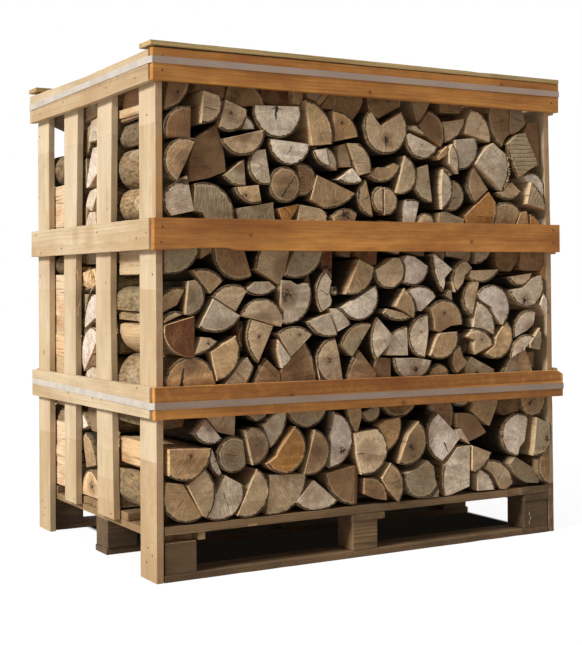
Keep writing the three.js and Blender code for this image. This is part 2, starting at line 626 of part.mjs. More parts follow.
// The crosswise logs of the middle rank, with their corners in Y and Z
const crosswiseLogs = [
  [8, 0.45, 266, 134, 402, 134, 398, 212],
  [0, 1.2, 408, 134, 524, 134],
  [6, 0.2, 268, 232, 402, 218, 416, 290, 290, 300],
  [0, 0.33, 425, 222, 498, 207, 512, 250, 519, 284, 500, 298],
  [10, 0, 528, 216, 544, 216, 544, 296, 526, 296],
  [6, 0.9, 400, 372, 268, 372],
  [6, 0, 408, 370, 408, 306, 470, 306, 480, 320, 500, 345, 496, 370],
  [0, 0.15, 478, 319, 534, 303, 544, 340, 540, 357],
  [10, 0.95, 270, 378, 400, 378],
  [4, 0, 412, 378, 505, 376, 500, 462, 462, 474, 434, 466],
  [9, 0, 512, 376, 544, 376, 544, 446, 514, 456],
  [5, 0.45, 268, 450, 406, 446, 410, 500],
  [4, 0, 420, 508, 420, 476, 492, 480, 462, 505],
  [8, 0.5, 300, 514, 408, 510, 404, 572, 280, 574],
  [2, 0, 418, 542, 418, 514, 454, 508],
  [0, 0.77, 440, 577, 412, 572, 414, 552, 455, 508, 508, 461],
  [6, 0.5, 544, 455, 544, 560, 520, 575],
  [12, 0.3, 272, 582, 400, 580, 398, 600],
  [4, 0.8, 402, 664, 270, 662],
  [0, 0.33, 448, 664, 408, 662, 410, 612, 504, 575],
  [8, 0, 544, 584, 544, 664, 492, 666],
  [6, 0.45, 270, 674, 414, 676, 418, 730],
  [2, 0.6, 522, 722, 440, 733, 424, 712, 430, 690, 470, 680],
  [4, 0, 544, 686, 544, 740, 532, 738, 530, 690],
  [6, 0.75, 268, 746, 420, 746],
  [12, 0.2, 430, 745, 520, 745, 520, 806, 430, 808],
  [4, 0, 544, 748, 544, 806, 528, 806, 528, 748],
  [6, 0.9, 408, 884, 270, 884],
  [0, 0.1, 470, 880, 424, 880, 416, 812, 494, 840],
  [8, 0.2, 544, 815, 544, 905, 502, 900, 505, 840],
  [3, 0.5, 270, 892, 410, 890, 412, 945],
  [0, 0.2, 468, 936, 416, 942, 418, 920, 450, 882, 492, 898],
  [7, 0.3, 272, 966, 392, 970, 388, 1048, 300, 1050],
  [0, 0.1, 440, 1047, 395, 1047, 400, 985, 425, 972, 468, 949, 491, 946],
  [6, 0.4, 544, 918, 544, 1012, 500, 1026],
  [5, 0.6, 270, 1056, 374, 1058, 378, 1118],
  [0, 0.15, 452, 1118, 400, 1122, 380, 1066, 474, 1064],
  [10, 0.3, 544, 1024, 544, 1100, 484, 1112, 480, 1066],
  [8, 0.8, 270, 1130, 400, 1128],
  [4, 0.9, 408, 1130, 530, 1118],
];

// Heights between which each of the tables of logs lies
const lowZone = [131, 408];
const middleZone = [416, 808];
const highZone = [815, 1190];
const railZones = [[374, 456], [765, 854], [1149, 1243]];

function cornersOf(row) {
  const corners = [];
  for (let index = 2; index < row.length; index += 2) {
    corners.push([row[index], row[index + 1]]);
  }
  return corners;
}

function circle([x, z], radius) {
  const outline = [];
  for (let side = 0; side < roundLogSides; side++) {
    const angle = (side / roundLogSides) * 2 * Math.PI;
    outline.push([x + radius * Math.cos(angle), z + radius * Math.sin(angle)]);
  }
  return outline;
}

// Points between two corners, on an arc that bulges to the right of the way from one to the other
function barkArc([fromX, fromZ], [toX, toZ], bulge) {
  const chord = Math.hypot(toX - fromX, toZ - fromZ);
  const sweep = 4 * Math.atan(bulge);
  const steps = Math.max(1, Math.round(sweep / arcStep));
  if (bulge === 0 || steps === 1) {
    return [];
  }
  const radius = chord / 2 / Math.sin(sweep / 2);
  const inwards = radius - (bulge * chord) / 2;
  const centreX = (fromX + toX) / 2 - (inwards * (toZ - fromZ)) / chord;
  const centreZ = (fromZ + toZ) / 2 + (inwards * (toX - fromX)) / chord;
  const start = Math.atan2(fromZ - centreZ, fromX - centreX);
  const points = [];
  for (let step = 1; step < steps; step++) {
    const angle = start + (sweep * step) / steps;
    points.push([centreX + radius * Math.cos(angle), centreZ + radius * Math.sin(angle)]);
  }
  return points;
}

function swollen(outline) {
  const centreX = outline.reduce((sum, [x]) => sum + x, 0) / outline.length;
  const centreZ = outline.reduce((sum, [, z]) => sum + z, 0) / outline.length;
  return outline.map(([x, z]) => {
    const reach = Math.hypot(x - centreX, z - centreZ);
    const scale = (reach + logSwell) / reach;
    return [centreX + (x - centreX) * scale, centreZ + (z - centreZ) * scale];
  });
}

function logOutline(row) {
  const bulge = row[1];
  const corners = cornersOf(row);
  if (corners.length === 1) {
    return circle(corners[0], bulge);
  }
  return swollen([...corners, ...barkArc(corners.at(-1), corners[0], bulge)]);
}

// The same logs upside down: the corners are taken in the other order to stay counter-clockwise
function turnedOver(rows, [low, high]) {
  return rows.map(([setBack, bulge, ...rest]) => {
    const corners = cornersOf([setBack, bulge, ...rest]).reverse();
    return [setBack, bulge, ...corners.flatMap(([x, z]) => [x, low + high - z])];
  });
}

function solidOf(geometry) {
  const bare = geometry.clone();
  bare.deleteAttribute("normal");
  bare.deleteAttribute("uv");
  const merged = mergeVertices(bare);
  return new wasm.Manifold(
    new wasm.Mesh({
      numProp: 3,
      vertProperties: merged.attributes.position.array,
      triVerts: Uint32Array.from(merged.index.array),
    }),
  );
}

function geometryOf(solid) {
  const { vertProperties, triVerts } = solid.getMesh();
  const geometry = new THREE.BufferGeometry();
  geometry.setAttribute("position", new THREE.BufferAttribute(vertProperties, 3));
  geometry.setIndex(new THREE.BufferAttribute(triVerts, 1));
  const flat = geometry.toNonIndexed();
  flat.computeVertexNormals();
  return flat;
}

// A rank is one solid: its heart, where the logs press together, and every log end standing out of
// it to its own tip. Logs at the edge of the rank run its whole length.
function rank(name, heart, logSolids) {
  const solid = logSolids.reduce((sum, log) => sum.add(log), heart);
  return piece(name, geometryOf(solid), beechWood);
}

function insideCrate([x, z]) {
  const left = boardThickness + logRoom;
  const right = rightFace(z) - boardThickness - logRoom;
  return [Math.min(Math.max(x, left), right), Math.max(z, deckTop + logRoom)];
}

function tipOf(row, outline) {
  const atRail = railZones.some(([low, high]) => highestOf(outline) > low && lowestOf(outline) < high);
  return atRail ? Math.max(row[0], logRoom) : row[0];
}

function reachesOut(outline, [left, right, bottom, top]) {
  return outline.some(([a, b]) => a < left || a > right || b < bottom || b > top);
}

function isLarger(outline, area) {
  return Math.abs(THREE.ShapeUtils.area(shapeOf(outline).getPoints())) > area;
}

const pileBottom = lowZone[0];
const pileTop = highZone[1];
const heartEdges = [
  pileLeft + heartInset,
  pileRight - heartInset,
  pileBottom + heartInset,
  pileTop - heartInset,
];
const heartLean = 10; // the heart's right edge follows the lean of the crate, above the height below
const heartLeanFrom = 800;

function frontRank() {
  const [left, right, bottom, top] = heartEdges;
  const heartOutline = [
    [left, bottom],
    [right, bottom],
    [right, heartLeanFrom],
    [right - heartLean, top],
    [left, top],
  ];
  const heart = solidOf(alongY(heartOutline, reliefDepth, rankDepth - reliefDepth));
  const logs = [];
  for (const row of [...lowLogs, ...middleLogs, ...highLogs, ...topLogs]) {
    const outline = logOutline(row).map(insideCrate);
    const tip = tipOf(row, outline);
    const back = reachesOut(outline, heartEdges) ? rankDepth : reliefDepth + joinDepth;
    if (isLarger(outline, leastSplitArea)) {
      logs.push(solidOf(alongY(outline, tip, back - tip)));
    }
  }
  return rank("firewood_front_rank", heart, logs);
}

// The back rank is stacked the other way up, except for its left end, where it also stands lower
const lowCorner = 112;
const lowCornerTop = 1056;

function isAtLeftEnd(row) {
  return cornersOf(row).some(([x, z]) => x < leftEndWidth || (x < lowCorner && z > lowCornerTop));
}

function backRank() {
  const [left, right, bottom, top] = heartEdges;
  const heartOutline = [
    [left, bottom],
    [right, bottom],
    [right, heartLeanFrom],
    [right - heartLean, top],
    [lowCorner + heartInset, top],
    [lowCorner, lowCornerTop - heartInset],
    [left, lowCornerTop - heartInset],
  ];
  const heartBack = backRankFront + rankDepth - reliefDepth;
  const heart = solidOf(alongY(heartOutline, backRankFront, heartBack - backRankFront));
  const rows = [
    ...turnedOver(lowLogs, lowZone),
    ...turnedOver(middleLogs, middleZone),
    ...turnedOver(highLogs, highZone),
    ...topLogs,
  ];
  const logs = [];
  for (const row of [...rows.filter((row) => !isAtLeftEnd(row)), ...leftEndLogs]) {
    const outline = logOutline(row).map(insideCrate);
    const tip = backRankFront + rankDepth - tipOf(row, outline);
    const front = reachesOut(outline, heartEdges) ? backRankFront : heartBack - joinDepth;
    if (isLarger(outline, leastFarSplitArea)) {
      logs.push(solidOf(alongY(outline, front, tip - front)));
    }
  }
  return rank("firewood_back_rank", heart, logs);
}

const middleRankBottom = 134;
const middleRankTop = 1180;

function middleRank() {
  const half = crateWidth / 2;
  const edges = [
    middleRankFront + heartInset,
    middleRankFront + middleRankDepth - heartInset,
    middleRankBottom + heartInset,
    middleRankTop - heartInset,
  ];
  const [front, back, bottom, top] = edges;
  const heartOutline = [[front, bottom], [back, bottom], [back, top], [front, top]];
  const heartLeft = pileLeft + reliefDepth;
  const heartRight = pileRight - reliefDepth;
  const heart = solidOf(alongX(heartOutline, heartLeft, heartRight - heartLeft));
  const logs = [];
  for (const row of crosswiseLogs) {
    const outline = logOutline(row);
    const start = pileLeft + row[0];
    const end = reachesOut(outline, edges) ? half : heartLeft + joinDepth;
    if (isLarger(outline, leastSplitArea)) {
      logs.push(solidOf(alongX(outline, start, end - start)));
    }
  }
  for (const row of turnedOver(crosswiseLogs, [middleRankBottom, middleRankTop])) {
    const outline = logOutline(row);
    const end = rightFace(highestOf(outline)) - boardThickness - logRoom - row[0];
    const start = reachesOut(outline, edges) ? half : heartRight - joinDepth;
    if (isLarger(outline, leastFarSplitArea)) {
      logs.push(solidOf(alongX(outline, start, end - start)));
    }
  }
  return rank("firewood_middle_rank", heart, logs);
}

// The whole, moved so that the middle of its base is the origin

const firewoodPallet = new THREE.Group();
firewoodPallet.add(
  ...bottomBoards(),
  ...palletBlocks(),
  ...crossBoards(),
  ...deckBoards(),
  ...posts(),
  ...sideSlats(),
  ...frontRails(),
  ...sideRails(),
  ...backRails(),
  ...topBoards(),
  ...straps(),
  frontRank(),
  middleRank(),
  backRank(),
);
const middle = new THREE.Box3().setFromObject(firewoodPallet).getCenter(new THREE.Vector3());
firewoodPallet.position.set(-middle.x, -middle.y, 0);

export default firewoodPallet;
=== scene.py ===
# A pallet of split beech firewood. Three ranks of logs stand in a crate of sawn boards on a worn
# pallet, held by two plastic straps. Places are given in millimetres from the near left corner of
# the crate, with X along the front, Y to the back and Z up, and at() turns them into metres.

import math
import random
from types import SimpleNamespace

import bmesh
import bpy
from mathutils import Matrix, Vector, noise
from mathutils.geometry import tessellate_polygon


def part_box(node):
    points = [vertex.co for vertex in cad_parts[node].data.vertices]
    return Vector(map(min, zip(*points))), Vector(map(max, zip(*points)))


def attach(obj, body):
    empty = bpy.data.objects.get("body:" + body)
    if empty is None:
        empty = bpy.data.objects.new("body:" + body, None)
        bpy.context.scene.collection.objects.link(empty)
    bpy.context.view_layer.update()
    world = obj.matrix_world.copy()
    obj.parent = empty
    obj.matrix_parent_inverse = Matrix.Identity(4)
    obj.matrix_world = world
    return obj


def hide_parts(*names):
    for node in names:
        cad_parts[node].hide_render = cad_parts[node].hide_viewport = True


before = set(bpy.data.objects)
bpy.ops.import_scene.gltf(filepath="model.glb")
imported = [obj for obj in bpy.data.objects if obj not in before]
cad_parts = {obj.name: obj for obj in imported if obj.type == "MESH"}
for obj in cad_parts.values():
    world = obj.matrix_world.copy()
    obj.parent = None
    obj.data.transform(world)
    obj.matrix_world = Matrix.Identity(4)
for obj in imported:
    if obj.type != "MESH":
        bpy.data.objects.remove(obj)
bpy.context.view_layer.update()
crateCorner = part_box("post_front_left")[0]

crate = {
    "board": 17.8,  # thickness of posts, slats and rails
    "width": 1200,
    "depth": 815,
    "toeOut": 4,  # the right side stands this much outside the width at the floor
    "bow": 13,  # and leans in by this much at the height below
    "bowHeight": 1155,
    "deckTop": 129,
    "logRoom": 1.5,  # kept between the logs and the boards
}


def at(x, y, z):
    return crateCorner + Vector((x, y, z)) / 1000


def rightFace(z):
    return crate["width"] + crate["toeOut"] - crate["bow"] * (z / crate["bowHeight"]) ** 2


def paint(red, green, blue):
    # an sRGB colour from 0 to 255 as the linear colour that the nodes take
    def linear(value):
        value /= 255
        return value / 12.92 if value <= 0.04045 else ((value + 0.055) / 1.055) ** 2.4

    return (linear(red), linear(green), linear(blue), 1.0)


def paints(colours):
    return {name: paint(*colour) for name, colour in colours.items()}


def linked(name, data):
    made = bpy.data.objects.new(name, data)
    bpy.context.collection.objects.link(made)
    return made


# Camera, light and floor

photoView = {
    "position": (-1187.3, -2645.2, 685.2),
    "yaw": 30.324,  # degrees to the right of the view along +Y
    "pitch": 0.201,
    "roll": -0.245,
    "lens": 70.0,
    "sensor": 36.0,
    "shiftY": -0.0637,  # the photograph's frame reaches lower than the lens axis
    "near": 0.05,
    "far": 500,
}


def makeCamera():
    data = bpy.data.cameras.new("photoCamera")
    data.lens = photoView["lens"]
    data.sensor_width = photoView["sensor"]
    data.shift_y = photoView["shiftY"]
    data.clip_start = photoView["near"]
    data.clip_end = photoView["far"]
    camera = linked("photoCamera", data)
    turn = (
        Matrix.Rotation(math.radians(-photoView["yaw"]), 4, "Z")
        @ Matrix.Rotation(math.radians(90 + photoView["pitch"]), 4, "X")
        @ Matrix.Rotation(math.radians(photoView["roll"]), 4, "Z")
    )
    camera.matrix_world = Matrix.Translation(at(*photoView["position"])) @ turn
    bpy.context.scene.camera = camera


white = (1, 1, 1, 1)
studio = {
    # strength, colour, degrees from the left side towards the front, height and softness in degrees
    "key": (4.4, (1.0, 0.985, 0.95), 9, 33, 16),
    "overhead": (1.7, (1.0, 1.0, 1.0), 0, 90, 40),
    "lightAway": 4,
    "sky": {"Color": (1.0, 0.95, 0.87, 1.0), "Strength": 0.36},
    "floorSize": 60.0,
    "floorGlow": 0.9,  # how much of the floor's white needs no light, so that its shadows stay faint
    "floorBounce": (0.42, 0.38, 0.34, 1.0),
    # the colour of the painted shadow that the camera sees on the floor under the pallet
    "floorUnder": (0.006, 0.005, 0.004, 1.0),
    "underFront": (128, 30, -5),  # the shade under the pallet, in the crate's millimetres
    "underBack": (1175, 800, 5),
    "underSoft": 0.02,
}


def makeLight(name):
    strength, colour, side, height, softness = studio[name]
    data = bpy.data.lights.new(name + "Light", "SUN")
    data.energy = strength
    data.color = colour
    data.angle = math.radians(softness)
    sun = linked(name + "Light", data)
    height = math.radians(height)
    side = math.radians(side)
    flat = math.cos(height)
    towards = Vector((-flat * math.cos(side), -flat * math.sin(side), math.sin(height)))
    sun.rotation_mode = "QUATERNION"
    sun.rotation_quaternion = towards.to_track_quat("Z", "Y")
    sun.location = towards * studio["lightAway"]


def shownAs(tree, lighting, seen):
    # one surface for the light and another for the camera
    isSeen = add(tree, "ShaderNodeLightPath").outputs["Is Camera Ray"]
    return add(tree, "ShaderNodeMixShader", {0: isSeen, 1: lighting, 2: seen})


def makeSky():
    world = bpy.data.worlds.new("paleStudio")
    world.use_nodes = True
    tree = world.node_tree
    tree.nodes.clear()
    sky = add(tree, "ShaderNodeBackground", studio["sky"])
    seen = add(tree, "ShaderNodeBackground", {"Color": white, "Strength": 1.0})
    link(shownAs(tree, sky, seen), add(tree, "ShaderNodeOutputWorld").inputs["Surface"])
    bpy.context.scene.world = world


def makeFloor():
    half = studio["floorSize"] / 2
    mesh = bpy.data.meshes.new("floor")
    corners = [(-half, -half, 0), (half, -half, 0), (half, half, 0), (-half, half, 0)]
    mesh.from_pydata(corners, [], [(0, 1, 2, 3)])
    floor = linked("floor", mesh)
    # the camera sees a white floor with a painted shadow under the pallet, and the floor throws little
    # light back
    material, tree, surface = newMaterial("paleFloor", roughness=1.0)
    surface.inputs["Specular IOR Level"].default_value = 0.0
    surface.inputs["Base Color"].default_value = studio["floorBounce"]
    low, high = at(*studio["underFront"]), at(*studio["underBack"])
    # painted shadow: the floor turns nearly black under the pallet's footprint
    under = boxMask(objectPlace(tree), low, high, studio["underSoft"])
    seenColour = blend(under, white, studio["floorUnder"])
    lit = add(tree, "ShaderNodeBsdfDiffuse", {"Color": seenColour})
    glow = add(tree, "ShaderNodeEmission", {"Color": seenColour})
    seen = add(tree, "ShaderNodeMixShader", {0: studio["floorGlow"], 1: lit, 2: glow})
    link(shownAs(tree, surface, seen), tree.nodes["Material Output"].inputs["Surface"])
    mesh.materials.append(material)


# Short ways to write node trees. A value is a socket or a number, and the sockets say which tree.


def treeOf(*values):
    return next(value.id_data for value in values if isinstance(value, bpy.types.NodeSocket))


def link(source, socket):
    source = source if isinstance(source, bpy.types.NodeSocket) else source.outputs[0]
    socket.id_data.links.new(source, socket)


def fill(node, values):
    for key, value in values.items():
        if isinstance(value, (bpy.types.NodeSocket, bpy.types.Node)):
            link(value, node.inputs[key])
        else:
            node.inputs[key].default_value = value


def add(tree, kind, values=None, **settings):
    node = tree.nodes.new(kind)
    for key, value in settings.items():
        setattr(node, key, value)
    fill(node, values or {})
    return node


def newMaterial(name, roughness):
    material = bpy.data.materials.new(name)
    material.use_nodes = True
    tree = material.node_tree
    surface = tree.nodes["Principled BSDF"]
    surface.inputs["Roughness"].default_value = roughness
    return material, tree, surface


def calc(operation, *values, clamp=False):
    settings = {"operation": operation, "use_clamp": clamp}
    return add(treeOf(*values), "ShaderNodeMath", dict(enumerate(values)), **settings).outputs[0]


def times(first, *others):
    for other in others:
        first = calc("MULTIPLY", first, other)
    return first


def plus(first, second):
    return calc("ADD", first, second)


def minus(first, second):
    return calc("SUBTRACT", first, second)


def over(first, second):
    return calc("DIVIDE", first, second)


def timesPlus(first, factor, added):
    return calc("MULTIPLY_ADD", first, factor, added)


def scaled(value, low, high):
    # from 0..1 to low..high
    return timesPlus(value, high - low, low)


def vector(operation, first, second=(0, 0, 0)):
    values = {0: first, 1: second}
    node = add(treeOf(first, second), "ShaderNodeVectorMath", values, operation=operation)
    return node.outputs["Value" if operation in ("LENGTH", "DISTANCE", "DOT_PRODUCT") else "Vector"]


def split(value):
    return add(value.id_data, "ShaderNodeSeparateXYZ", {0: value}).outputs


def joined(x, y, z=0.0):
    return add(treeOf(x, y, z), "ShaderNodeCombineXYZ", {0: x, 1: y, 2: z}).outputs[0]


def noiseOf(place, scale, detail=3.0, roughness=0.55):
    values = {"Vector": place, "Scale": scale, "Detail": detail, "Roughness": roughness}
    return add(place.id_data, "ShaderNodeTexNoise", values).outputs[0]


def streaks(place, stretch, detail, roughness=0.55):
    # noise with so many waves to the metre along each axis
    return noiseOf(vector("MULTIPLY", place, stretch), 1.0, detail, roughness)


def ramp(value, low, high, toLow=0.0, toHigh=1.0):
    values = dict(enumerate((value, low, high, toLow, toHigh)))
    return add(value.id_data, "ShaderNodeMapRange", values, interpolation_type="SMOOTHSTEP").outputs[0]


def blend(factor, first, second, how="MIX"):
    values = {0: factor, 6: first, 7: second}
    tree = treeOf(*values.values())
    return add(tree, "ShaderNodeMix", values, data_type="RGBA", blend_type=how).outputs[2]


def tinted(colour, factor):
    # the colour made lighter or darker by a factor
    grey = add(treeOf(colour, factor), "ShaderNodeCombineColor", {0: factor, 1: factor, 2: factor})
    return blend(1.0, colour, grey.outputs[0], "MULTIPLY")


def attribute(tree, name):
    return add(tree, "ShaderNodeAttribute", attribute_name=name, attribute_type="GEOMETRY").outputs


def objectPlace(tree):
    return add(tree, "ShaderNodeTexCoord").outputs["Object"]


def boxMask(place, low, high, softness):
    # 1 inside the box between two corners, fading out over the softness round it
    low, high = Vector(low), Vector(high)
    apart = vector("ABSOLUTE", vector("SUBTRACT", place, (low + high) / 2))
    x, y, z = split(vector("SUBTRACT", apart, (high - low) / 2))
    return ramp(calc("MAXIMUM", x, calc("MAXIMUM", y, z)), 0.0, softness, 1.0, 0.0)


def bump(surface, height, strength, distance):
    values = {"Height": height, "Strength": strength, "Distance": distance}
    link(add(surface.id_data, "ShaderNodeBump", values), surface.inputs["Normal"])


def newGroup(name, inputs, outputs):
    # inputs is a dictionary of socket name and kind, Float or Vector; the outputs are all Float
    group = bpy.data.node_groups.new(name, "ShaderNodeTree")
    for socket, kind in inputs.items():
        group.interface.new_socket(socket, in_out="INPUT", socket_type="NodeSocket" + kind)
    for socket in outputs:
        group.interface.new_socket(socket, in_out="OUTPUT", socket_type="NodeSocketFloat")
    return group, add(group, "NodeGroupInput").outputs, add(group, "NodeGroupOutput").inputs


def use(group, values):
    node = treeOf(*values.values()).nodes.new("ShaderNodeGroup")
    node.node_tree = group
    fill(node, values)
    return node.outputs


# The split logs. A row holds the tone of the log's end, how far it is set back, the bulge of its
# bark and its corners, counter-clockwise. The bark is an arc from the last corner to the first,
# and its bulge is its height over half its chord. A row with one corner is a round log: the bulge
# is its radius. These are the front rank's logs below the low rail, between it and the middle
# rail, and above that.

lowLogs = [
    ("tan", 2, 0.77, 118, 144, 68, 224, 22, 232),
    ("golden", -9, 0.65, 137, 303, 28, 309, 28, 248),
    ("beige", -4, 0.42, 124, 256, 77, 220, 117, 147, 128, 142),
    ("pale", 2, 0.7, 228, 208, 180, 236, 143, 172, 122, 145),
    ("beige", 0, 1.02, 264, 245, 209, 138),
    ("grey", 0, 2.3, 233, 256, 226, 319),
    ("cream", 10, 0.42, 162, 234, 172, 241, 147, 303),
    ("beige", -6, 1.3, 228, 341, 249, 256),
    ("white", 0, 0.44, 170, 322, 128, 371, 98, 337),
    ("beige", 8, 0.2, 138, 400, 134, 373, 163, 340, 207, 327, 211, 400),
    ("umber", 30, 0.3, 20, 350, 82, 356, 92, 402, 20, 408),
    ("pale", 6, 0.35, 346, 404, 320, 376, 283, 347, 307, 293),
    ("grey", 12, 0.9, 304, 387, 237, 389),
    ("orange", -9, 1.05, 367, 342, 322, 288, 312, 272, 284, 257, 300, 241),
    ("tan", -7, 1.05, 423, 331, 391, 223),
    ("grey", 4, 0.82, 468, 386, 346, 386),
    ("white", 0, 0.87, 484, 371, 474, 300, 470, 231),
    ("brown", 3, 0.34, 545, 131, 546, 231, 456, 218),
    ("umber", 12, 0.1, 549, 133, 558, 134, 561, 236, 551, 232),
    ("pale", 3, 0.39, 495, 147, 425, 205, 372, 155),
    ("beige", 4, 0.5, 403, 222, 302, 227, 293, 131),
    ("tan", 8, 0.12, 545, 316, 559, 316, 571, 353, 566, 404, 518, 404),
    ("grey", 8, 1.2, 624, 380, 571, 362),
    ("sand", -5, 0.86, 612, 320, 541, 313, 548, 258, 563, 208),
    ("brown", 0, 0.36, 606, 197, 575, 197, 573, 158, 610, 142, 642, 137),
    ("tan", -6, 0.5, 651, 231, 622, 194, 643, 162, 676, 131),
    ("golden", 6, 0.4, 690, 345, 640, 338, 620, 326, 640, 296, 643, 257),
    ("tan", -9, 0.93, 736, 333, 704, 300, 673, 229),
    ("grey", -3, 0.42, 740, 133, 803, 131, 806, 146, 793, 180, 788, 212, 768, 229, 733, 209, 696, 200),
    ("white", 0, 0.61, 815, 222, 840, 243, 878, 281, 803, 351),
    ("brown", 16, 0.2, 850, 394, 804, 394, 806, 354, 858, 301, 868, 338),
    ("pale", 0, 0.15, 825, 131, 845, 131, 909, 149, 909, 258, 868, 256, 826, 210),
    ("cream", -2, 0.05, 910, 262, 880, 304, 862, 301, 866, 290, 880, 282),
    ("tan", 8, 0.05, 972, 289, 935, 334, 912, 343, 873, 344, 872, 308, 886, 303, 914, 268),
    ("beige", -5, 0.2, 980, 234, 915, 258, 914, 190, 930, 187),
    ("pale", 3, 0.3, 948, 192, 938, 180, 939, 134, 997, 133),
    ("umber", 40, 0.1, 914, 145, 934, 140, 934, 186, 914, 184),
    ("beige", 2, 0.37, 975, 214, 964, 192, 988, 178, 1004, 158, 1016, 133, 1036, 131, 1062, 146),
    ("white", 2, 1.05, 1076, 218, 1083, 241, 1101, 257, 1116, 325, 1088, 333),
    ("grey", -12, 0.66, 1181, 303, 1160, 310, 1136, 321, 1130, 280, 1121, 217),
    ("brown", -10, 0.7, 1166, 140, 1181, 136, 1181, 239),
    ("grey", 10, 0.08, 1160, 168, 1105, 198, 1075, 215, 1056, 195, 1075, 165, 1110, 142, 1156, 136),
    ("tan", 6, 46, 1135, 368),
    ("umber", 14, 0.1, 1040, 330, 1092, 338, 1092, 404, 1026, 404, 1022, 350),
    ("tan", 8, 0.05, 985, 305, 1012, 365, 1010, 404, 946, 404, 925, 347),
    ("umber", 14, 0.66, 746, 382, 634, 380),
    ("grey", 16, 0.4, 925, 374, 866, 372),
    ("dark", 34, 0.1, 985, 131, 1166, 131, 1150, 135, 1111, 140, 1074, 162, 990, 166),
]
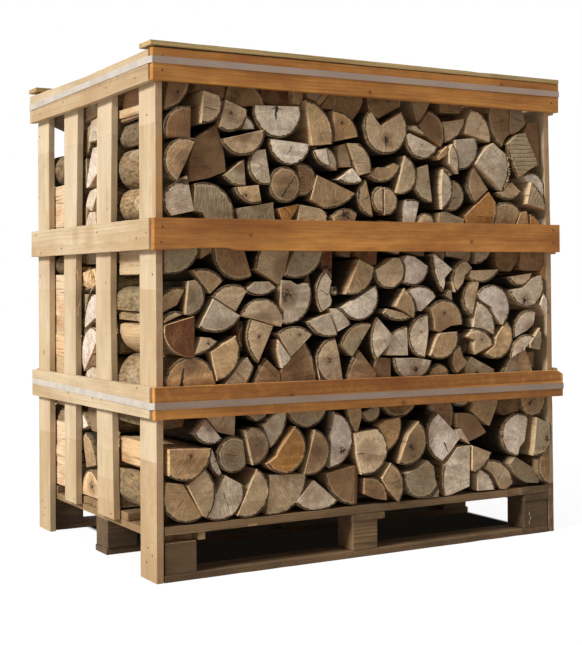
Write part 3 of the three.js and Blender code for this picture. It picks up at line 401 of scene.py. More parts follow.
middleLogs = [
    ("grey", 0, 0.57, 112, 806, 24, 806, 24, 716),
    ("tan", 0, 0.34, 97, 723, 140, 668, 174, 699),
    ("brown", 4, 0.56, 253, 709, 222, 806, 158, 806, 150, 762),
    ("beige", 4, 0.5, 264, 727, 329, 689, 344, 714, 368, 806),
    ("grey", 4, 0.6, 456, 800, 394, 806, 344, 710),
    ("tan", 10, 0.3, 20, 662, 20, 624, 58, 642, 79, 681),
    ("grey", 0, 0.66, 104, 700, 84, 697, 75, 619, 92, 617),
    ("beige", 4, 0.36, 20, 611, 21, 599, 50, 612, 74, 622),
    ("rust", -2, 0.39, 96, 521, 98, 615, 21, 595, 20, 575),
    ("pale", 0, 0.42, 222, 613, 148, 656, 110, 589),
    ("beige", 0, 0.42, 146, 661, 208, 625, 240, 677),
    ("pale", 3, 0.3, 322, 680, 300, 696, 262, 695, 240, 678, 240, 669),
    ("beige", 0, 0.76, 222, 615, 331, 586, 339, 606),
    (
        "pale", 2, 0.53, 413, 690, 398, 692, 382, 686, 360, 697,
        334, 700, 333, 640, 341, 622, 338, 597, 352, 591,
    ),
    ("pale", 0, 0.41, 448, 620, 474, 636, 478, 648, 470, 668, 477, 697, 459, 722),
    ("rust", 30, 0.2, 496, 700, 500, 806, 462, 806, 466, 730, 484, 690),
    ("cream", 8, 0.5, 500, 664, 496, 682, 484, 682, 486, 664),
    ("tan", -9, 0.5, 599, 731, 556, 751, 514, 664),
    ("cream", -2, 0.98, 611, 684, 504, 629),
    ("pale", -2, 0.36, 493, 561, 471, 617, 405, 596),
    ("pale", 0, 0.2, 500, 627, 472, 629, 475, 615, 496, 570, 533, 588),
    ("beige", 2, 0.36, 325, 571, 359, 510, 423, 566),
    ("pale", -2, 0.05, 358, 508, 323, 555, 320, 530, 334, 485),
    ("brown", 6, 0.2, 404, 547, 334, 476, 344, 418, 432, 418),
    ("brown", 6, 0.15, 246, 418, 338, 418, 332, 474, 312, 492, 292, 510),
    ("beige", -2, 0.12, 258, 489, 241, 514, 224, 500, 172, 444, 228, 436),
    ("straw", 0, 0.55, 208, 566, 141, 530, 157, 461),
    ("beige", 0, 0.2, 158, 554, 140, 563, 116, 566, 98, 523),
    ("golden", 0, 1.11, 24, 448, 155, 448),
    ("beige", 0, 0.35, 269, 500, 310, 588, 246, 605),
    ("beige", 2, 0.5, 437, 480, 452, 418, 518, 418, 500, 518, 489, 555),
    ("grey", 0, 0.42, 505, 538, 540, 508, 560, 535, 597, 588),
    ("brown", 4, 0.15, 521, 440, 612, 420, 611, 464, 561, 523),
    ("pale", 0, 0.32, 612, 496, 652, 535, 662, 557, 614, 604),
    ("pale", 4, 0.12, 664, 560, 645, 506, 712, 504, 709, 580),
    ("pale", 2, 0.97, 764, 495, 772, 530, 777, 565, 775, 609),
    ("beige", -4, 1.25, 691, 748, 686, 756, 660, 756, 604, 719),
    ("white", -3, 0.55, 775, 733, 730, 759, 706, 763, 694, 750, 703, 736, 697, 691),
    ("tan", -8, 0.38, 694, 677, 667, 631, 698, 618, 725, 602),
    ("beige", -2, 0.3, 717, 601, 690, 615, 642, 626, 632, 614),
    ("white", 0, 0.43, 708, 672, 730, 650, 743, 619, 753, 618, 802, 656),
    ("tan", 2, 0.71, 784, 628, 797, 598, 798, 568, 816, 562, 850, 578, 889, 581),
    ("tan", -5, 0.7, 867, 562, 812, 559, 800, 548, 779, 502),
    ("cream", -3, 0.2, 825, 668, 833, 692, 832, 704, 857, 728, 798, 768, 792, 762),
    ("grey", 6, 0.2, 832, 660, 858, 645, 856, 670, 842, 674),
    ("beige", 0, 0.42, 855, 695, 863, 667, 872, 673, 890, 691, 897, 712, 922, 731, 899, 752),
    ("beige", 2, 0.35, 1016, 727, 920, 724, 914, 708, 924, 697),
    ("beige", 0, 0.57, 919, 602, 944, 690, 938, 694, 914, 693),
    ("white", -4, 1.1, 938, 664, 946, 648, 962, 636, 982, 628, 1004, 595, 1023, 577),
    ("pale", 0, 0.41, 940, 641, 930, 612, 925, 573, 960, 568, 997, 552),
    ("beige", 0, 0.38, 922, 567, 904, 548, 930, 538, 926, 516, 932, 500, 992, 525),
    ("tan", 2, 0.6, 870, 449, 908, 478, 890, 497, 880, 525),
    ("dark", 26, 27, 903, 528),
    ("straw", 0, 0.97, 1043, 585, 1020, 566, 1004, 548, 997, 522, 963, 500),
    ("beige", -2, 0.69, 1127, 716, 1046, 706),
    ("pale", -2, 1.15, 1162, 711, 1126, 702, 1095, 678, 1054, 669),
    ("cream", -6, 0.42, 1166, 661, 1154, 630, 1166, 618, 1181, 599),
    ("orange", 4, 0.1, 1162, 718, 1172, 704, 1180, 698, 1180, 742),
    ("brown", 10, 0.2, 1104, 806, 1092, 730, 1105, 725, 1160, 724, 1180, 742, 1180, 806),
    ("umber", 12, 0.2, 1006, 806, 1012, 738, 1036, 723, 1064, 723, 1098, 766, 1098, 806),
    ("grey", 12, 0.45, 1000, 806, 938, 806, 944, 742),
    ("pale", 0, 0.6, 1064, 541, 1110, 560, 1134, 577, 1142, 613),
    ("pale", -2, 0.62, 1052, 486, 1095, 506, 1137, 541),
    ("grey", -6, 0.3, 1152, 566, 1116, 524, 1118, 514, 1152, 506),
    ("grey", 6, 0.15, 1022, 420, 1084, 420, 1079, 497, 1052, 487),
    ("tan", 6, 0.1, 1088, 418, 1146, 418, 1122, 478, 1116, 498, 1102, 511, 1086, 500),
    ("brown", 20, 0.3, 1150, 452, 1152, 500, 1120, 500, 1126, 478),
    ("grey", 8, 0.1, 1000, 457, 925, 493, 902, 464, 905, 418, 996, 418),
    ("pale", 2, 0.92, 785, 488, 740, 496, 668, 498),
    ("tan", 6, 1.1, 779, 440, 849, 440),
    ("brown", 8, 0.1, 618, 498, 606, 470, 616, 418, 661, 418, 661, 497),
    ("rust", 16, 0.1, 562, 806, 564, 760, 600, 736, 622, 738, 630, 806),
    ("brown", 20, 0.1, 512, 806, 518, 764, 545, 757, 556, 806),
    ("tan", 10, 0.15, 118, 806, 122, 750, 150, 768, 152, 806),
    ("brown", 30, 0.2, 430, 640, 434, 690, 428, 716, 414, 690, 416, 650),
    ("rust", 24, 0.2, 236, 530, 240, 600, 226, 600, 222, 560),
    ("beige", 10, 0.2, 700, 806, 640, 806, 634, 776, 690, 766),
    ("brown", 24, 0.2, 740, 806, 706, 806, 710, 772, 780, 762, 786, 806),
    ("brown", 20, 0.2, 836, 806, 800, 806, 804, 776, 842, 750),
    ("grey", 20, 0.2, 930, 806, 844, 806, 850, 762, 884, 760, 926, 748),
]
highLogs = [
    ("brown", 6, 0.37, 92, 1180, 40, 1182, 25, 1098, 32, 1095),
    (
        "rust", 0, 0.25, 30, 1078, 22, 1064, 20, 1050, 24, 1038,
        33, 1030, 90, 1034, 91, 1106, 76, 1106,
    ),
    ("beige", -8, 0.5, 169, 1120, 167, 1133, 120, 1144, 115, 1068),
    ("brown", 12, 0.1, 188, 1190, 108, 1186, 112, 1150, 122, 1147, 170, 1136, 182, 1132),
    ("beige", -5, 0.65, 238, 1107, 181, 1127, 163, 1061),
    ("cream", 4, 0.3, 242, 1093, 230, 1062, 264, 1064),
    ("umber", 10, 0.35, 200, 1186, 185, 1131, 222, 1116, 296, 1124),
    ("cream", 0, 1.2, 389, 1126, 259, 1120),
    ("cream", 0, 0.99, 416, 1034, 301, 1042),
    ("beige", -3, 0.82, 288, 1063, 169, 1033),
    ("tan", 0, 0.85, 54, 928, 104, 1030, 84, 1032),
    ("umber", 8, 0.1, 160, 1068, 108, 1034, 92, 984, 90, 930, 140, 940, 186, 958),
    ("pale", 0, 0.58, 38, 848, 100, 862, 82, 944, 52, 926),
    ("grey", 4, 0.56, 104, 926, 99, 862, 124, 858, 146, 815, 206, 840),
    ("grey", 4, 0.3, 238, 925, 234, 988, 178, 948),
    ("straw", -3, 0.41, 277, 886, 270, 928, 206, 920),
    ("pale", 0, 0.84, 304, 932, 299, 970, 291, 1016, 262, 1011),
    ("grey", 6, 0.2, 322, 815, 313, 888, 213, 870, 226, 815),
    ("rust", 34, 0.1, 370, 1190, 298, 1190, 299, 1130, 370, 1130),
    ("straw", 12, 0.1, 404, 1184, 374, 1186, 375, 1132, 392, 1132, 402, 1146),
    ("straw", -6, 0.45, 402, 1142, 411, 1085, 420, 1031, 477, 1038),
    ("golden", -2, 0.42, 483, 1122, 491, 1046, 557, 1061),
    ("pale", 8, 0.1, 412, 1184, 418, 1150, 440, 1143, 458, 1158, 466, 1186),
    ("golden", -2, 0.1, 448, 1134, 492, 1182, 474, 1184, 438, 1140),
    ("brown", 14, 0.1, 582, 1150, 582, 1188, 500, 1186, 456, 1130, 522, 1122, 546, 1100),
    ("beige", -3, 2.1, 691, 1131, 626, 1091, 596, 1124, 588, 1127),
    ("umber", 14, 0.15, 700, 1184, 592, 1188, 599, 1130, 620, 1108, 700, 1150),
    ("pale", -2, 0.85, 806, 1046, 768, 1062, 716, 1079, 704, 1072),
    ("beige", 3, 0.35, 720, 1101, 716, 1092, 770, 1077),
    ("brown", 4, 0.55, 786, 1142, 752, 1102, 772, 1077, 822, 1049),
    ("tan", 14, 0.1, 800, 1186, 734, 1188, 738, 1156, 752, 1110, 764, 1118),
    ("beige", 6, 0.3, 906, 1130, 858, 1120, 826, 1116, 839, 1062),
    ("brown", 14, 0.1, 826, 1188, 826, 1142, 892, 1143, 896, 1186),
    ("pale", 0, 0.55, 936, 1074, 925, 1077, 866, 1070, 865, 1055, 879, 991),
    ("pale", -6, 0.3, 851, 1057, 841, 1036, 843, 1006, 872, 980),
    ("golden", -2, 0.1, 838, 1052, 806, 1024, 812, 1014, 838, 1030),
    ("straw", 12, 0.3, 838, 998, 828, 990, 846, 973, 866, 978),
    ("sand", -2, 0.44, 926, 1156, 909, 1130, 903, 1090, 988, 1071),
    ("tan", 8, 0.33, 1030, 1060, 1042, 1084, 1058, 1096, 1056, 1186, 984, 1188, 984, 1150),
    ("grey", 6, 0.1, 1062, 1100, 1070, 1097, 1090, 1107, 1113, 1128, 1096, 1184, 1066, 1184),
    (
        "grey", -2, 0.15, 1082, 977, 1122, 1002, 1148, 1016, 1146, 1030,
        1114, 1084, 1105, 1101, 1078, 1097, 1044, 1068,
    ),
    (
        "brown", 8, 0.1, 1152, 1018, 1164, 1012, 1164, 1060, 1156, 1136,
        1124, 1132, 1109, 1104, 1118, 1086, 1149, 1032,
    ),
    (
        "pale", -3, 0.3, 1036, 1040, 1010, 1055, 992, 1068, 972, 1057,
        948, 1033, 931, 1009, 958, 990, 1024, 942,
    ),
    ("tan", 4, 0.43, 933, 906, 980, 942, 928, 1003),
    ("beige", 2, 0.44, 1094, 939, 1062, 964, 1048, 957, 1030, 938, 1004, 935),
    ("white", 4, 0.75, 1108, 988, 1105, 983, 1118, 969, 1144, 957, 1164, 937, 1174, 924),
    ("beige", -8, 0.25, 1120, 966, 1106, 907, 1176, 892),
    ("orange", 0, 0.2, 1008, 905, 983, 936, 901, 869, 918, 815, 980, 820),
    ("tan", 4, 0.36, 1010, 902, 1006, 876, 992, 815, 1056, 820, 1091, 888),
    ("golden", -1, 0.1, 1114, 887, 1092, 884, 1064, 815, 1118, 815),
    ("orange", 4, 0.4, 1128, 879, 1126, 815, 1174, 820),
    ("white", -3, 0.15, 708, 907, 698, 882, 702, 815, 726, 815, 742, 872, 750, 903),
    ("beige", 0, 0.8, 633, 869, 631, 937, 622, 937),
    ("beige", 0, 1.18, 638, 936, 637, 865),
    ("tan", 4, 0.5, 691, 992, 672, 1000, 650, 986, 620, 987, 590, 962),
    ("beige", 0, 0.77, 702, 1020, 694, 990, 675, 923, 700, 921),
    ("grey", 2, 0.3, 790, 902, 778, 1001, 745, 988, 737, 934),
    ("pale", -5, 0.64, 821, 990, 815, 940, 818, 885),
    ("grey", 4, 1.05, 864, 962, 857, 940, 855, 908, 844, 883),
    ("beige", 4, 1.02, 740, 842, 802, 842),
    ("grey", 6, 0.1, 820, 815, 896, 815, 898, 861, 866, 870, 838, 880, 818, 876),
    ("white", -3, 0.38, 471, 982, 462, 1026, 424, 1020),
    ("pale", 2, 0.4, 467, 1029, 475, 983, 496, 974),
    ("beige", 6, 0.1, 521, 1041, 506, 1036, 502, 1012, 506, 983, 540, 985),
    ("beige", 0, 0.31, 561, 1044, 527, 1043, 561, 963, 599, 974),
    ("cream", -2, 0.24, 571, 948, 540, 980, 496, 950),
    ("tan", 2, 0.22, 551, 917, 438, 959, 420, 898, 464, 877),
    ("tan", 0, 44, 345, 932),
    ("brown", 6, 1.35, 383, 984, 392, 946, 389, 908),
    ("tan", 2, 0.72, 604, 859, 594, 910, 582, 953),
    ("tan", 0, 0.4, 484, 862, 494, 820, 540, 815, 557, 868),
    ("beige", 3, 0.2, 466, 866, 448, 876, 390, 885, 376, 815, 456, 815),
    ("orange", 4, 0.02, 386, 886, 327, 873, 350, 826),
    ("brown", 24, 0.1, 636, 815, 690, 815, 690, 850, 640, 854),
    ("brown", 24, 0.1, 566, 815, 620, 815, 616, 852, 580, 850),
    ("beige", 70, 0.02, 20, 1121, 20, 1101, 30, 1100, 30, 1121),
]

# half logs laid on top of the pile, flat side down
topLogs = [
    ("grey", 4, 0.75, 36, 1178, 142, 1180),
    ("tan", 8, 0.25, 150, 1179, 266, 1176, 218, 1212),
    ("pale", 2, 0.7, 278, 1180, 378, 1178),
    ("brown", 6, 0.3, 432, 1213, 390, 1178, 502, 1180),
    ("beige", 3, 0.7, 512, 1179, 616, 1182),
    ("grey", 8, 0.7, 624, 1182, 732, 1180),
    ("tan", 5, 0.25, 742, 1180, 850, 1183, 838, 1206, 790, 1215),
    ("beige", 4, 0.6, 860, 1184, 976, 1180),
    ("grey", 6, 0.3, 1030, 1214, 988, 1182, 1092, 1179),
    ("tan", 9, 0.6, 1098, 1178, 1162, 1176),
]

# the crosswise logs of the middle rank, with their corners in Y and Z
crosswiseLogs = [
    ("tan", 8, 0.45, 266, 134, 402, 134, 398, 212),
    ("straw", 0, 1.2, 408, 134, 524, 134),
    ("beige", 6, 0.2, 268, 232, 402, 218, 416, 290, 290, 300),
    ("tan", 0, 0.33, 425, 222, 498, 207, 512, 250, 519, 284, 500, 298),
    ("brown", 10, 0, 528, 216, 544, 216, 544, 296, 526, 296),
    ("grey", 6, 0.9, 400, 372, 268, 372),
    ("grey", 6, 0, 408, 370, 408, 306, 470, 306, 480, 320, 500, 345, 496, 370),
    ("white", 0, 0.15, 478, 319, 534, 303, 544, 340, 540, 357),
    ("tan", 10, 0.95, 270, 378, 400, 378),
    ("pale", 4, 0, 412, 378, 505, 376, 500, 462, 462, 474, 434, 466),
    ("brown", 9, 0, 512, 376, 544, 376, 544, 446, 514, 456),
    ("beige", 5, 0.45, 268, 450, 406, 446, 410, 500),
    ("brown", 4, 0, 420, 508, 420, 476, 492, 480, 462, 505),
    ("grey", 8, 0.5, 300, 514, 408, 510, 404, 572, 280, 574),
    ("brown", 2, 0, 418, 542, 418, 514, 454, 508),
    ("white", 0, 0.77, 440, 577, 412, 572, 414, 552, 455, 508, 508, 461),
    ("brown", 6, 0.5, 544, 455, 544, 560, 520, 575),
    ("beige", 12, 0.3, 272, 582, 400, 580, 398, 600),
    ("tan", 4, 0.8, 402, 664, 270, 662),
    ("white", 0, 0.33, 448, 664, 408, 662, 410, 612, 504, 575),
    ("grey", 8, 0, 544, 584, 544, 664, 492, 666),
    ("beige", 6, 0.45, 270, 674, 414, 676, 418, 730),
    ("straw", 2, 0.05, 522, 722, 440, 733, 424, 712, 430, 690, 470, 680, 506, 686),
    ("grey", 4, 0, 544, 686, 544, 740, 532, 738, 530, 690),
    ("tan", 6, 0.75, 268, 746, 420, 746),
    ("grey", 12, 0.2, 430, 745, 520, 745, 520, 806, 430, 808),
    ("brown", 4, 0, 544, 748, 544, 806, 528, 806, 528, 748),
    ("grey", 6, 0.9, 408, 884, 270, 884),
    ("pale", 0, 0.1, 470, 880, 424, 880, 416, 812, 494, 840),
    ("tan", 8, 0.2, 544, 815, 544, 905, 502, 900, 505, 840),
    ("beige", 3, 0.5, 270, 892, 410, 890, 412, 945),
    ("pale", 0, 0.2, 468, 936, 416, 942, 418, 920, 450, 882, 492, 898),
    ("tan", 7, 0.3, 272, 966, 392, 970, 388, 1048, 300, 1050),
    ("white", 0, 0.1, 440, 1047, 395, 1047, 400, 985, 425, 972, 468, 949, 491, 946),
    ("grey", 6, 0.4, 544, 918, 544, 1012, 500, 1026),
    ("beige", 5, 0.6, 270, 1056, 374, 1058, 378, 1118),
    ("pale", 0, 0.15, 452, 1118, 400, 1122, 380, 1066, 474, 1064),
    ("tan", 10, 0.3, 544, 1024, 544, 1100, 484, 1112, 480, 1066),
    ("grey", 8, 0.95, 270, 1136, 400, 1134),
    ("beige", 4, 0.95, 408, 1134, 530, 1124),
]

# what shows on single logs, as a place on the sawn end, in X and Z or in Y and Z, and a size
frontMarks = {
    # a crack goes from one place to another
    "cracks": [
        (322, 1122, 320, 1090, 6), (336, 904, 375, 953, 3), (66, 448, 72, 494, 7),
        (541, 262, 575, 259, 2.5), (825, 270, 838, 243, 2.5), (905, 899, 944, 897, 2.5),
        (640, 1098, 644, 1040, 4),
    ],
    "stars": [
        (322, 1118, 20), (641, 1062, 12), (735, 467, 9), (1103, 643, 9), (722, 243, 13), (521, 860, 24),
    ],
    # a size of 0 keeps an end clean
    "knots": [
        (505, 270, 15), (642, 1057, 12), (713, 268, 12), (348, 663, 20), (735, 467, 10),
        (1103, 643, 13), (1173, 262, 11), (82, 289, 7), (697, 742, 8), (521, 862, 15),
        (471, 500, 8), (385, 564, 5), (194, 1095, 7), (1065, 276, 0), (903, 528, 45),
    ],
    "hearts": [
        (1040, 1120, 26), (350, 880, 16), (1040, 850, 18), (90, 500, 20), (790, 1100, 14),
        (255, 300, 32), (426, 276, 18), (190, 281, 16), (927, 308, 14), (665, 1010, 14),
    ],
    "ringed": [(652, 900), (520, 840), (345, 932), (405, 955), (190, 281), (426, 276), (255, 300)],
    # the saw has torn these into layers, at a slope in degrees
    "torn": [(1096, 1040, 3), (1140, 930, 62)],
    # logs with bark on their left side as well, and one that is split there
    "barkSides": [(60, 1060), (45, 650), (40, 608)],
    "splitSides": [(60, 570)],
}
crossMarks = {"knots": [(454, 162, 19), (300, 655, 9)]}

# how a log is made, in millimetres
logLook = {
    "length": 250,
    "lengthChange": 6,
    "sideExtra": 24,  # how much longer the front rank's logs at the left side are
    "sideWithin": 40,
    "barkStep": 8,  # between the points of an outline
    "splitStep": 12,
    "rings": (0.0, 0.9, 6, 16, 36, 70, 115, 165, 212),  # behind the sawn end
    "rim": 0.8,  # how far the sawn end's edge is broken
    "backRim": 1.2,
    "barkRough": 1.5,
    "barkLumps": ((17, 30, 1.0), (6, 9, 0.6)),  # width, length and share of the rough bark's lumps
    "splitRough": 0.9,
    "splitLumps": ((10, 85, 3.0, 1.0), (34, 40, 7.0, 0.7)),  # width, length, noise layer and share
    "endRough": 0.35,  # the share of the roughness that the sawn end keeps
    "roughGain": 40,  # this much deeper, a whole share more
    "crumble": 2.2,  # how deep the bark crumbles round the sawn end
    "crumb": 9,  # and how wide its crumbs are
    "barkOver": 12,  # how far the bark of the logs in barkSides comes round
    "sweep": 5,  # how far a log wanders over its length
    "taper": (-0.03, 0.05),
    "tilt": 0.03,  # how far a cut is out of square
    "leastBark": 0.12,  # flatter arcs than this are split wood
    "leastBulge": 0.02,  # and flatter ones than this are straight
    "noBark": 9000,  # a radius that no rim of bark comes near
    "sharpFrom": 38,  # degrees
    "shadeFrom": 1085,  # the logs above this height are darkened with a painted shade from the top rail
    "shadeLeaves": 0.86,
}
# a log's random numbers start from its rank's seed and its own number
seeds = {"front": 21, "back": 521, "middle": 1021, "middleStep": 100}
# what any end may have: a mark's three values are its share of the ends, its least and its most size
oddMarks = {
    "light": (0.96, 1.04),
    "warmth": (-0.02, 0.02),
    "crackTurn": 0.5,
    "crackHalf": (8, 24),
    "crack": (0.25, 0.6, 1.5),
    "knotAway": 14,
    "knot": (0.08, 3, 8),
    "star": (0.12, 5, 12),
    "ringed": 1.5,  # the rings' strength on the ringed ends, against 1 at most elsewhere
}
toneColours = paints({
    "cream": (238, 223, 205),
    "white": (216, 201, 187),
    "pale": (200, 183, 162),
    "sand": (224, 198, 164),
    "straw": (212, 178, 134),
    "beige": (186, 161, 129),
    "golden": (188, 149, 104),
    "tan": (161, 132, 97),
    "grey": (153, 137, 111),
    "orange": (170, 120, 60),
    "brown": (134, 102, 70),
    "umber": (110, 78, 48),
    "rust": (112, 62, 24),
    # painted shade: the tone of logs that lie in the shade of rails and other logs
    "dark": (70, 56, 44),
})
# the heights of the front's three open sections, and those that the rails cover
zones = {"low": (131, 408), "middle": (416, 808), "high": (815, 1190)}
railZones = ((374, 456), (765, 854), (1149, 1243))


def cornersOf(row):
    return list(zip(row[3::2], row[4::2]))


def flipped(rows, placeOf):
    # the same logs mirrored, with their corners in the other order to stay counter-clockwise
    made = []
    for row in rows:
        corners = [placeOf(x, z) for x, z in reversed(cornersOf(row))]
        made.append((*row[:3], *[value for corner in corners for value in corner]))
    return made


def turnedOver(rows, low, high):
    return flipped(rows, lambda x, z: (x, low + high - z))


def turnedRound(rows, low, high):
    return flipped(rows, lambda x, z: (low + high - x, z))


def middleOf(points):
    return sum(x for x, z in points) / len(points), sum(z for x, z in points) / len(points)


def between(start, end, step):
    # the points of a straight edge, without its end
    count = max(1, round(math.dist(start, end) / step))
    return [
        (start[0] + (end[0] - start[0]) * i / count, start[1] + (end[1] - start[1]) * i / count)
        for i in range(count)
    ]


def around(centre, radius, start, sweep, count):
    angles = [start + sweep * i / count for i in range(count)]
    return [(centre[0] + radius * math.cos(a), centre[1] + radius * math.sin(a)) for a in angles]


def logOutline(row):
    # the points of the outline, whether the edge after each is bark, the pith and the bark's radius
    bulge = row[2]
    corners = cornersOf(row)
    if len(corners) == 1:
        count = round(2 * math.pi * bulge / logLook["barkStep"])
        points = around(corners[0], bulge, 0.0, 2 * math.pi, count)
        return points, [True] * count, corners[0], bulge
    points = []
    for start, end in zip(corners, corners[1:]):
        points += between(start, end, logLook["splitStep"])
    barkFrom = len(points)
    start, end = corners[-1], corners[0]
    if bulge < logLook["leastBulge"]:
        points += between(start, end, logLook["splitStep"])
        return points, [False] * len(points), middleOf(points), logLook["noBark"]
    chord = math.dist(start, end)
    sweep = 4 * math.atan(bulge)
    radius = chord / 2 / math.sin(sweep / 2)
    inwards = radius - bulge * chord / 2
    centre = (
        (start[0] + end[0]) / 2 - inwards * (end[1] - start[1]) / chord,
        (start[1] + end[1]) / 2 + inwards * (end[0] - start[0]) / chord,
    )
    first = math.atan2(start[1] - centre[1], start[0] - centre[0])
    count = max(2, round(radius * sweep / logLook["barkStep"]))
    points += around(centre, radius, first, sweep, count)
    isBark = bulge >= logLook["leastBark"]
    flags = [isBark and i >= barkFrom for i in range(len(points))]
    return points, flags, centre, radius if isBark else logLook["noBark"]


def outwards(points):
    # the outward direction at each point of a counter-clockwise outline
    made = []
    for i in range(len(points)):
        beforeX, beforeZ = points[i - 1]
        afterX, afterZ = points[(i + 1) % len(points)]
        length = math.hypot(afterX - beforeX, afterZ - beforeZ) or 1
        made.append(((afterZ - beforeZ) / length, (beforeX - afterX) / length))
    return made


def isInside(x, z, points):
    inside = False
    for (x1, z1), (x2, z2) in zip(points, points[1:] + points[:1]):
        if (z1 > z) != (z2 > z) and x < (x2 - x1) * (z - z1) / (z2 - z1) + x1:
            inside = not inside
    return inside


def sometimes(chance, share, low, high):
    # a size between two for that share of the logs, and 0 for the others
    return chance.uniform(low, high) if chance.random() < share else 0.0


class LogPile:
    # gathers the logs of a rank into one mesh

    def __init__(self, name, edges):
        self.name = name
        # logs that reach past these, left, right, bottom and top, are seen from outside
        self.edges = edges
        self.marks = {}  # what shows on single logs
        self.sideExtra = 0  # how much longer the logs at the left side are
        self.toPlace = None  # from across, up and depth to metres
        self.isReversed = False  # whether toPlace turns faces inside out
        self.verts, self.faces, self.finishes, self.uvs = [], [], [], []
        names = ("logTone", "logInfo", "crackStart", "crackEnd", "logSpot", "logDepth", "logTear")
        self.looks = {name: [] for name in names}

    def addLogs(self, rows, frontOf, seed):
        for i, row in enumerate(rows):
            self.addLog(row, frontOf(row), random.Random(seed + i))

    def marked(self, kind, points):
        # the marks of one kind whose place lies in the outline
        return [mark for mark in self.marks.get(kind, ()) if isInside(mark[0], mark[1], points)]

    def addLog(self, row, front, chance):
        points, bark, pith, radius = logOutline(row)
        if self.marked("barkSides", points):
            leftEnd = min(x for x, z in points) + logLook["barkOver"]
            bark = [flag or points[i][0] < leftEnd for i, flag in enumerate(bark)]
        isSplit = bool(self.marked("splitSides", points))
        if isSplit:
            bark = [False] * len(points)
            radius *= 2  # no rim of bark inside the end either
        look = self.lookOf(row, points, pith, radius, chance)
        sideLook = {**look, "logTone": toneColours["tan"]} if isSplit else look
        reach = [0.0]
        for here, there in zip(points, points[1:] + points[:1]):
            reach.append(reach[-1] + math.dist(here, there))
        depths, rings = self.ringsOf(points, bark, reach, front, chance)
        self.addSides(rings, depths, reach, bark, sideLook)
        self.addEnds(rings, pith, look)

    def ringsOf(self, points, bark, reach, front, chance):
        # the outline at each depth behind the sawn end, rough, bent and tapered
        count = len(points)
        normals = outwards(points)
        middle = middleOf(points)
        shift = chance.uniform(0, 900)
        tilt = [chance.uniform(-1, 1) * logLook["tilt"] for _ in range(2)]
        drift = [chance.uniform(-1, 1) * logLook["sweep"] for _ in range(2)]
        taper = chance.uniform(*logLook["taper"])
        length = logLook["length"] + chance.uniform(-1, 1) * logLook["lengthChange"] - front
        if min(x for x, z in points) < logLook["sideWithin"]:
            length += self.sideExtra
        depths = [*logLook["rings"], length - logLook["backRim"], length]
        isRound = [bark[i] or bark[i - 1] for i in range(count)]

        def roughAt(i, depth, share):
            x, z = points[i]
            if isRound[i]:
                return logLook["barkRough"] * sum(
                    part * noise.noise(Vector((x / wide + shift, z / wide, depth / long)))
                    for wide, long, part in logLook["barkLumps"]
                )
            return logLook["splitRough"] * (1 + share) * sum(
                part * noise.noise(Vector((reach[i] / wide + shift, depth / long, layer)))
                for wide, long, layer, part in logLook["splitLumps"]
            )

        rings = []
        for depth in depths:
            share = min(1.0, depth / length)
            grown = min(1.0, logLook["endRough"] + depth / logLook["roughGain"])
            broken = logLook["rim"] if depth in (0.0, length) else 0
            bent = share**1.5
            ring = []
            for i, (x, z) in enumerate(points):
                out = roughAt(i, depth, share) * grown - broken
                fromX, fromZ = x - middle[0], z - middle[1]
                px = x + normals[i][0] * out + drift[0] * bent - fromX * taper * share
                pz = z + normals[i][1] * out + drift[1] * bent - fromZ * taper * share
                back = front + depth
                if share < 0.5:
                    back += (tilt[0] * fromX + tilt[1] * fromZ) * (1 - 2 * share)
                if depth == 0.0 and isRound[i]:
                    crumb = noise.noise(Vector((x / logLook["crumb"], z / logLook["crumb"], shift)))
                    back += max(0.0, logLook["crumble"] * crumb)
                ring.append((px, pz, back))
            rings.append(ring)
        return depths, rings

    def addFace(self, corners, uvs, finish, look):
        if self.isReversed:
            corners, uvs = corners[::-1], uvs[::-1]
        self.faces.append(corners)
        self.finishes.append(finish)
        self.uvs += uvs
        for key, value in look.items():
            self.looks[key].append(value)

    def addSides(self, rings, depths, reach, bark, look):
        base = len(self.verts)
        count = len(bark)
        for ring in rings:
            self.verts += [self.toPlace(*point) for point in ring]
        for r in range(len(rings) - 1):
            near, far = depths[r] / 1000, depths[r + 1] / 1000
            here, deeper = base + r * count, base + (r + 1) * count
            for i in range(count):
                j = (i + 1) % count
                start, end = reach[i] / 1000, reach[i + 1] / 1000
                uvs = [(near, start), (far, start), (far, end), (near, end)]
                corners = [here + i, deeper + i, deeper + j, here + j]
                self.addFace(corners, uvs, 2 if bark[i] else 1, look)

    def addEnds(self, rings, pith, look):
        # the two sawn ends, on the first and the last ring of the log whose sides were just added
        count = len(rings[0])
        ends = ((0, False), (len(rings) - 1, True))
        for number, isBack in ends:
            offset = len(self.verts) - (len(rings) - number) * count
            flat = [Vector((x, z, 0)) for x, z, back in rings[number]]
            for triple in tessellate_polygon([flat]):
                a, b, c = [flat[i] for i in triple]
                facesViewer = (b - a).cross(c - a).z > 0
                if facesViewer == isBack:
                    triple = triple[::-1]
                uvs = [((flat[i].x - pith[0]) / 1000, (flat[i].y - pith[1]) / 1000) for i in triple]
                self.addFace([offset + i for i in triple], uvs, 0, look)

    def lookOf(self, row, points, pith, radius, chance):
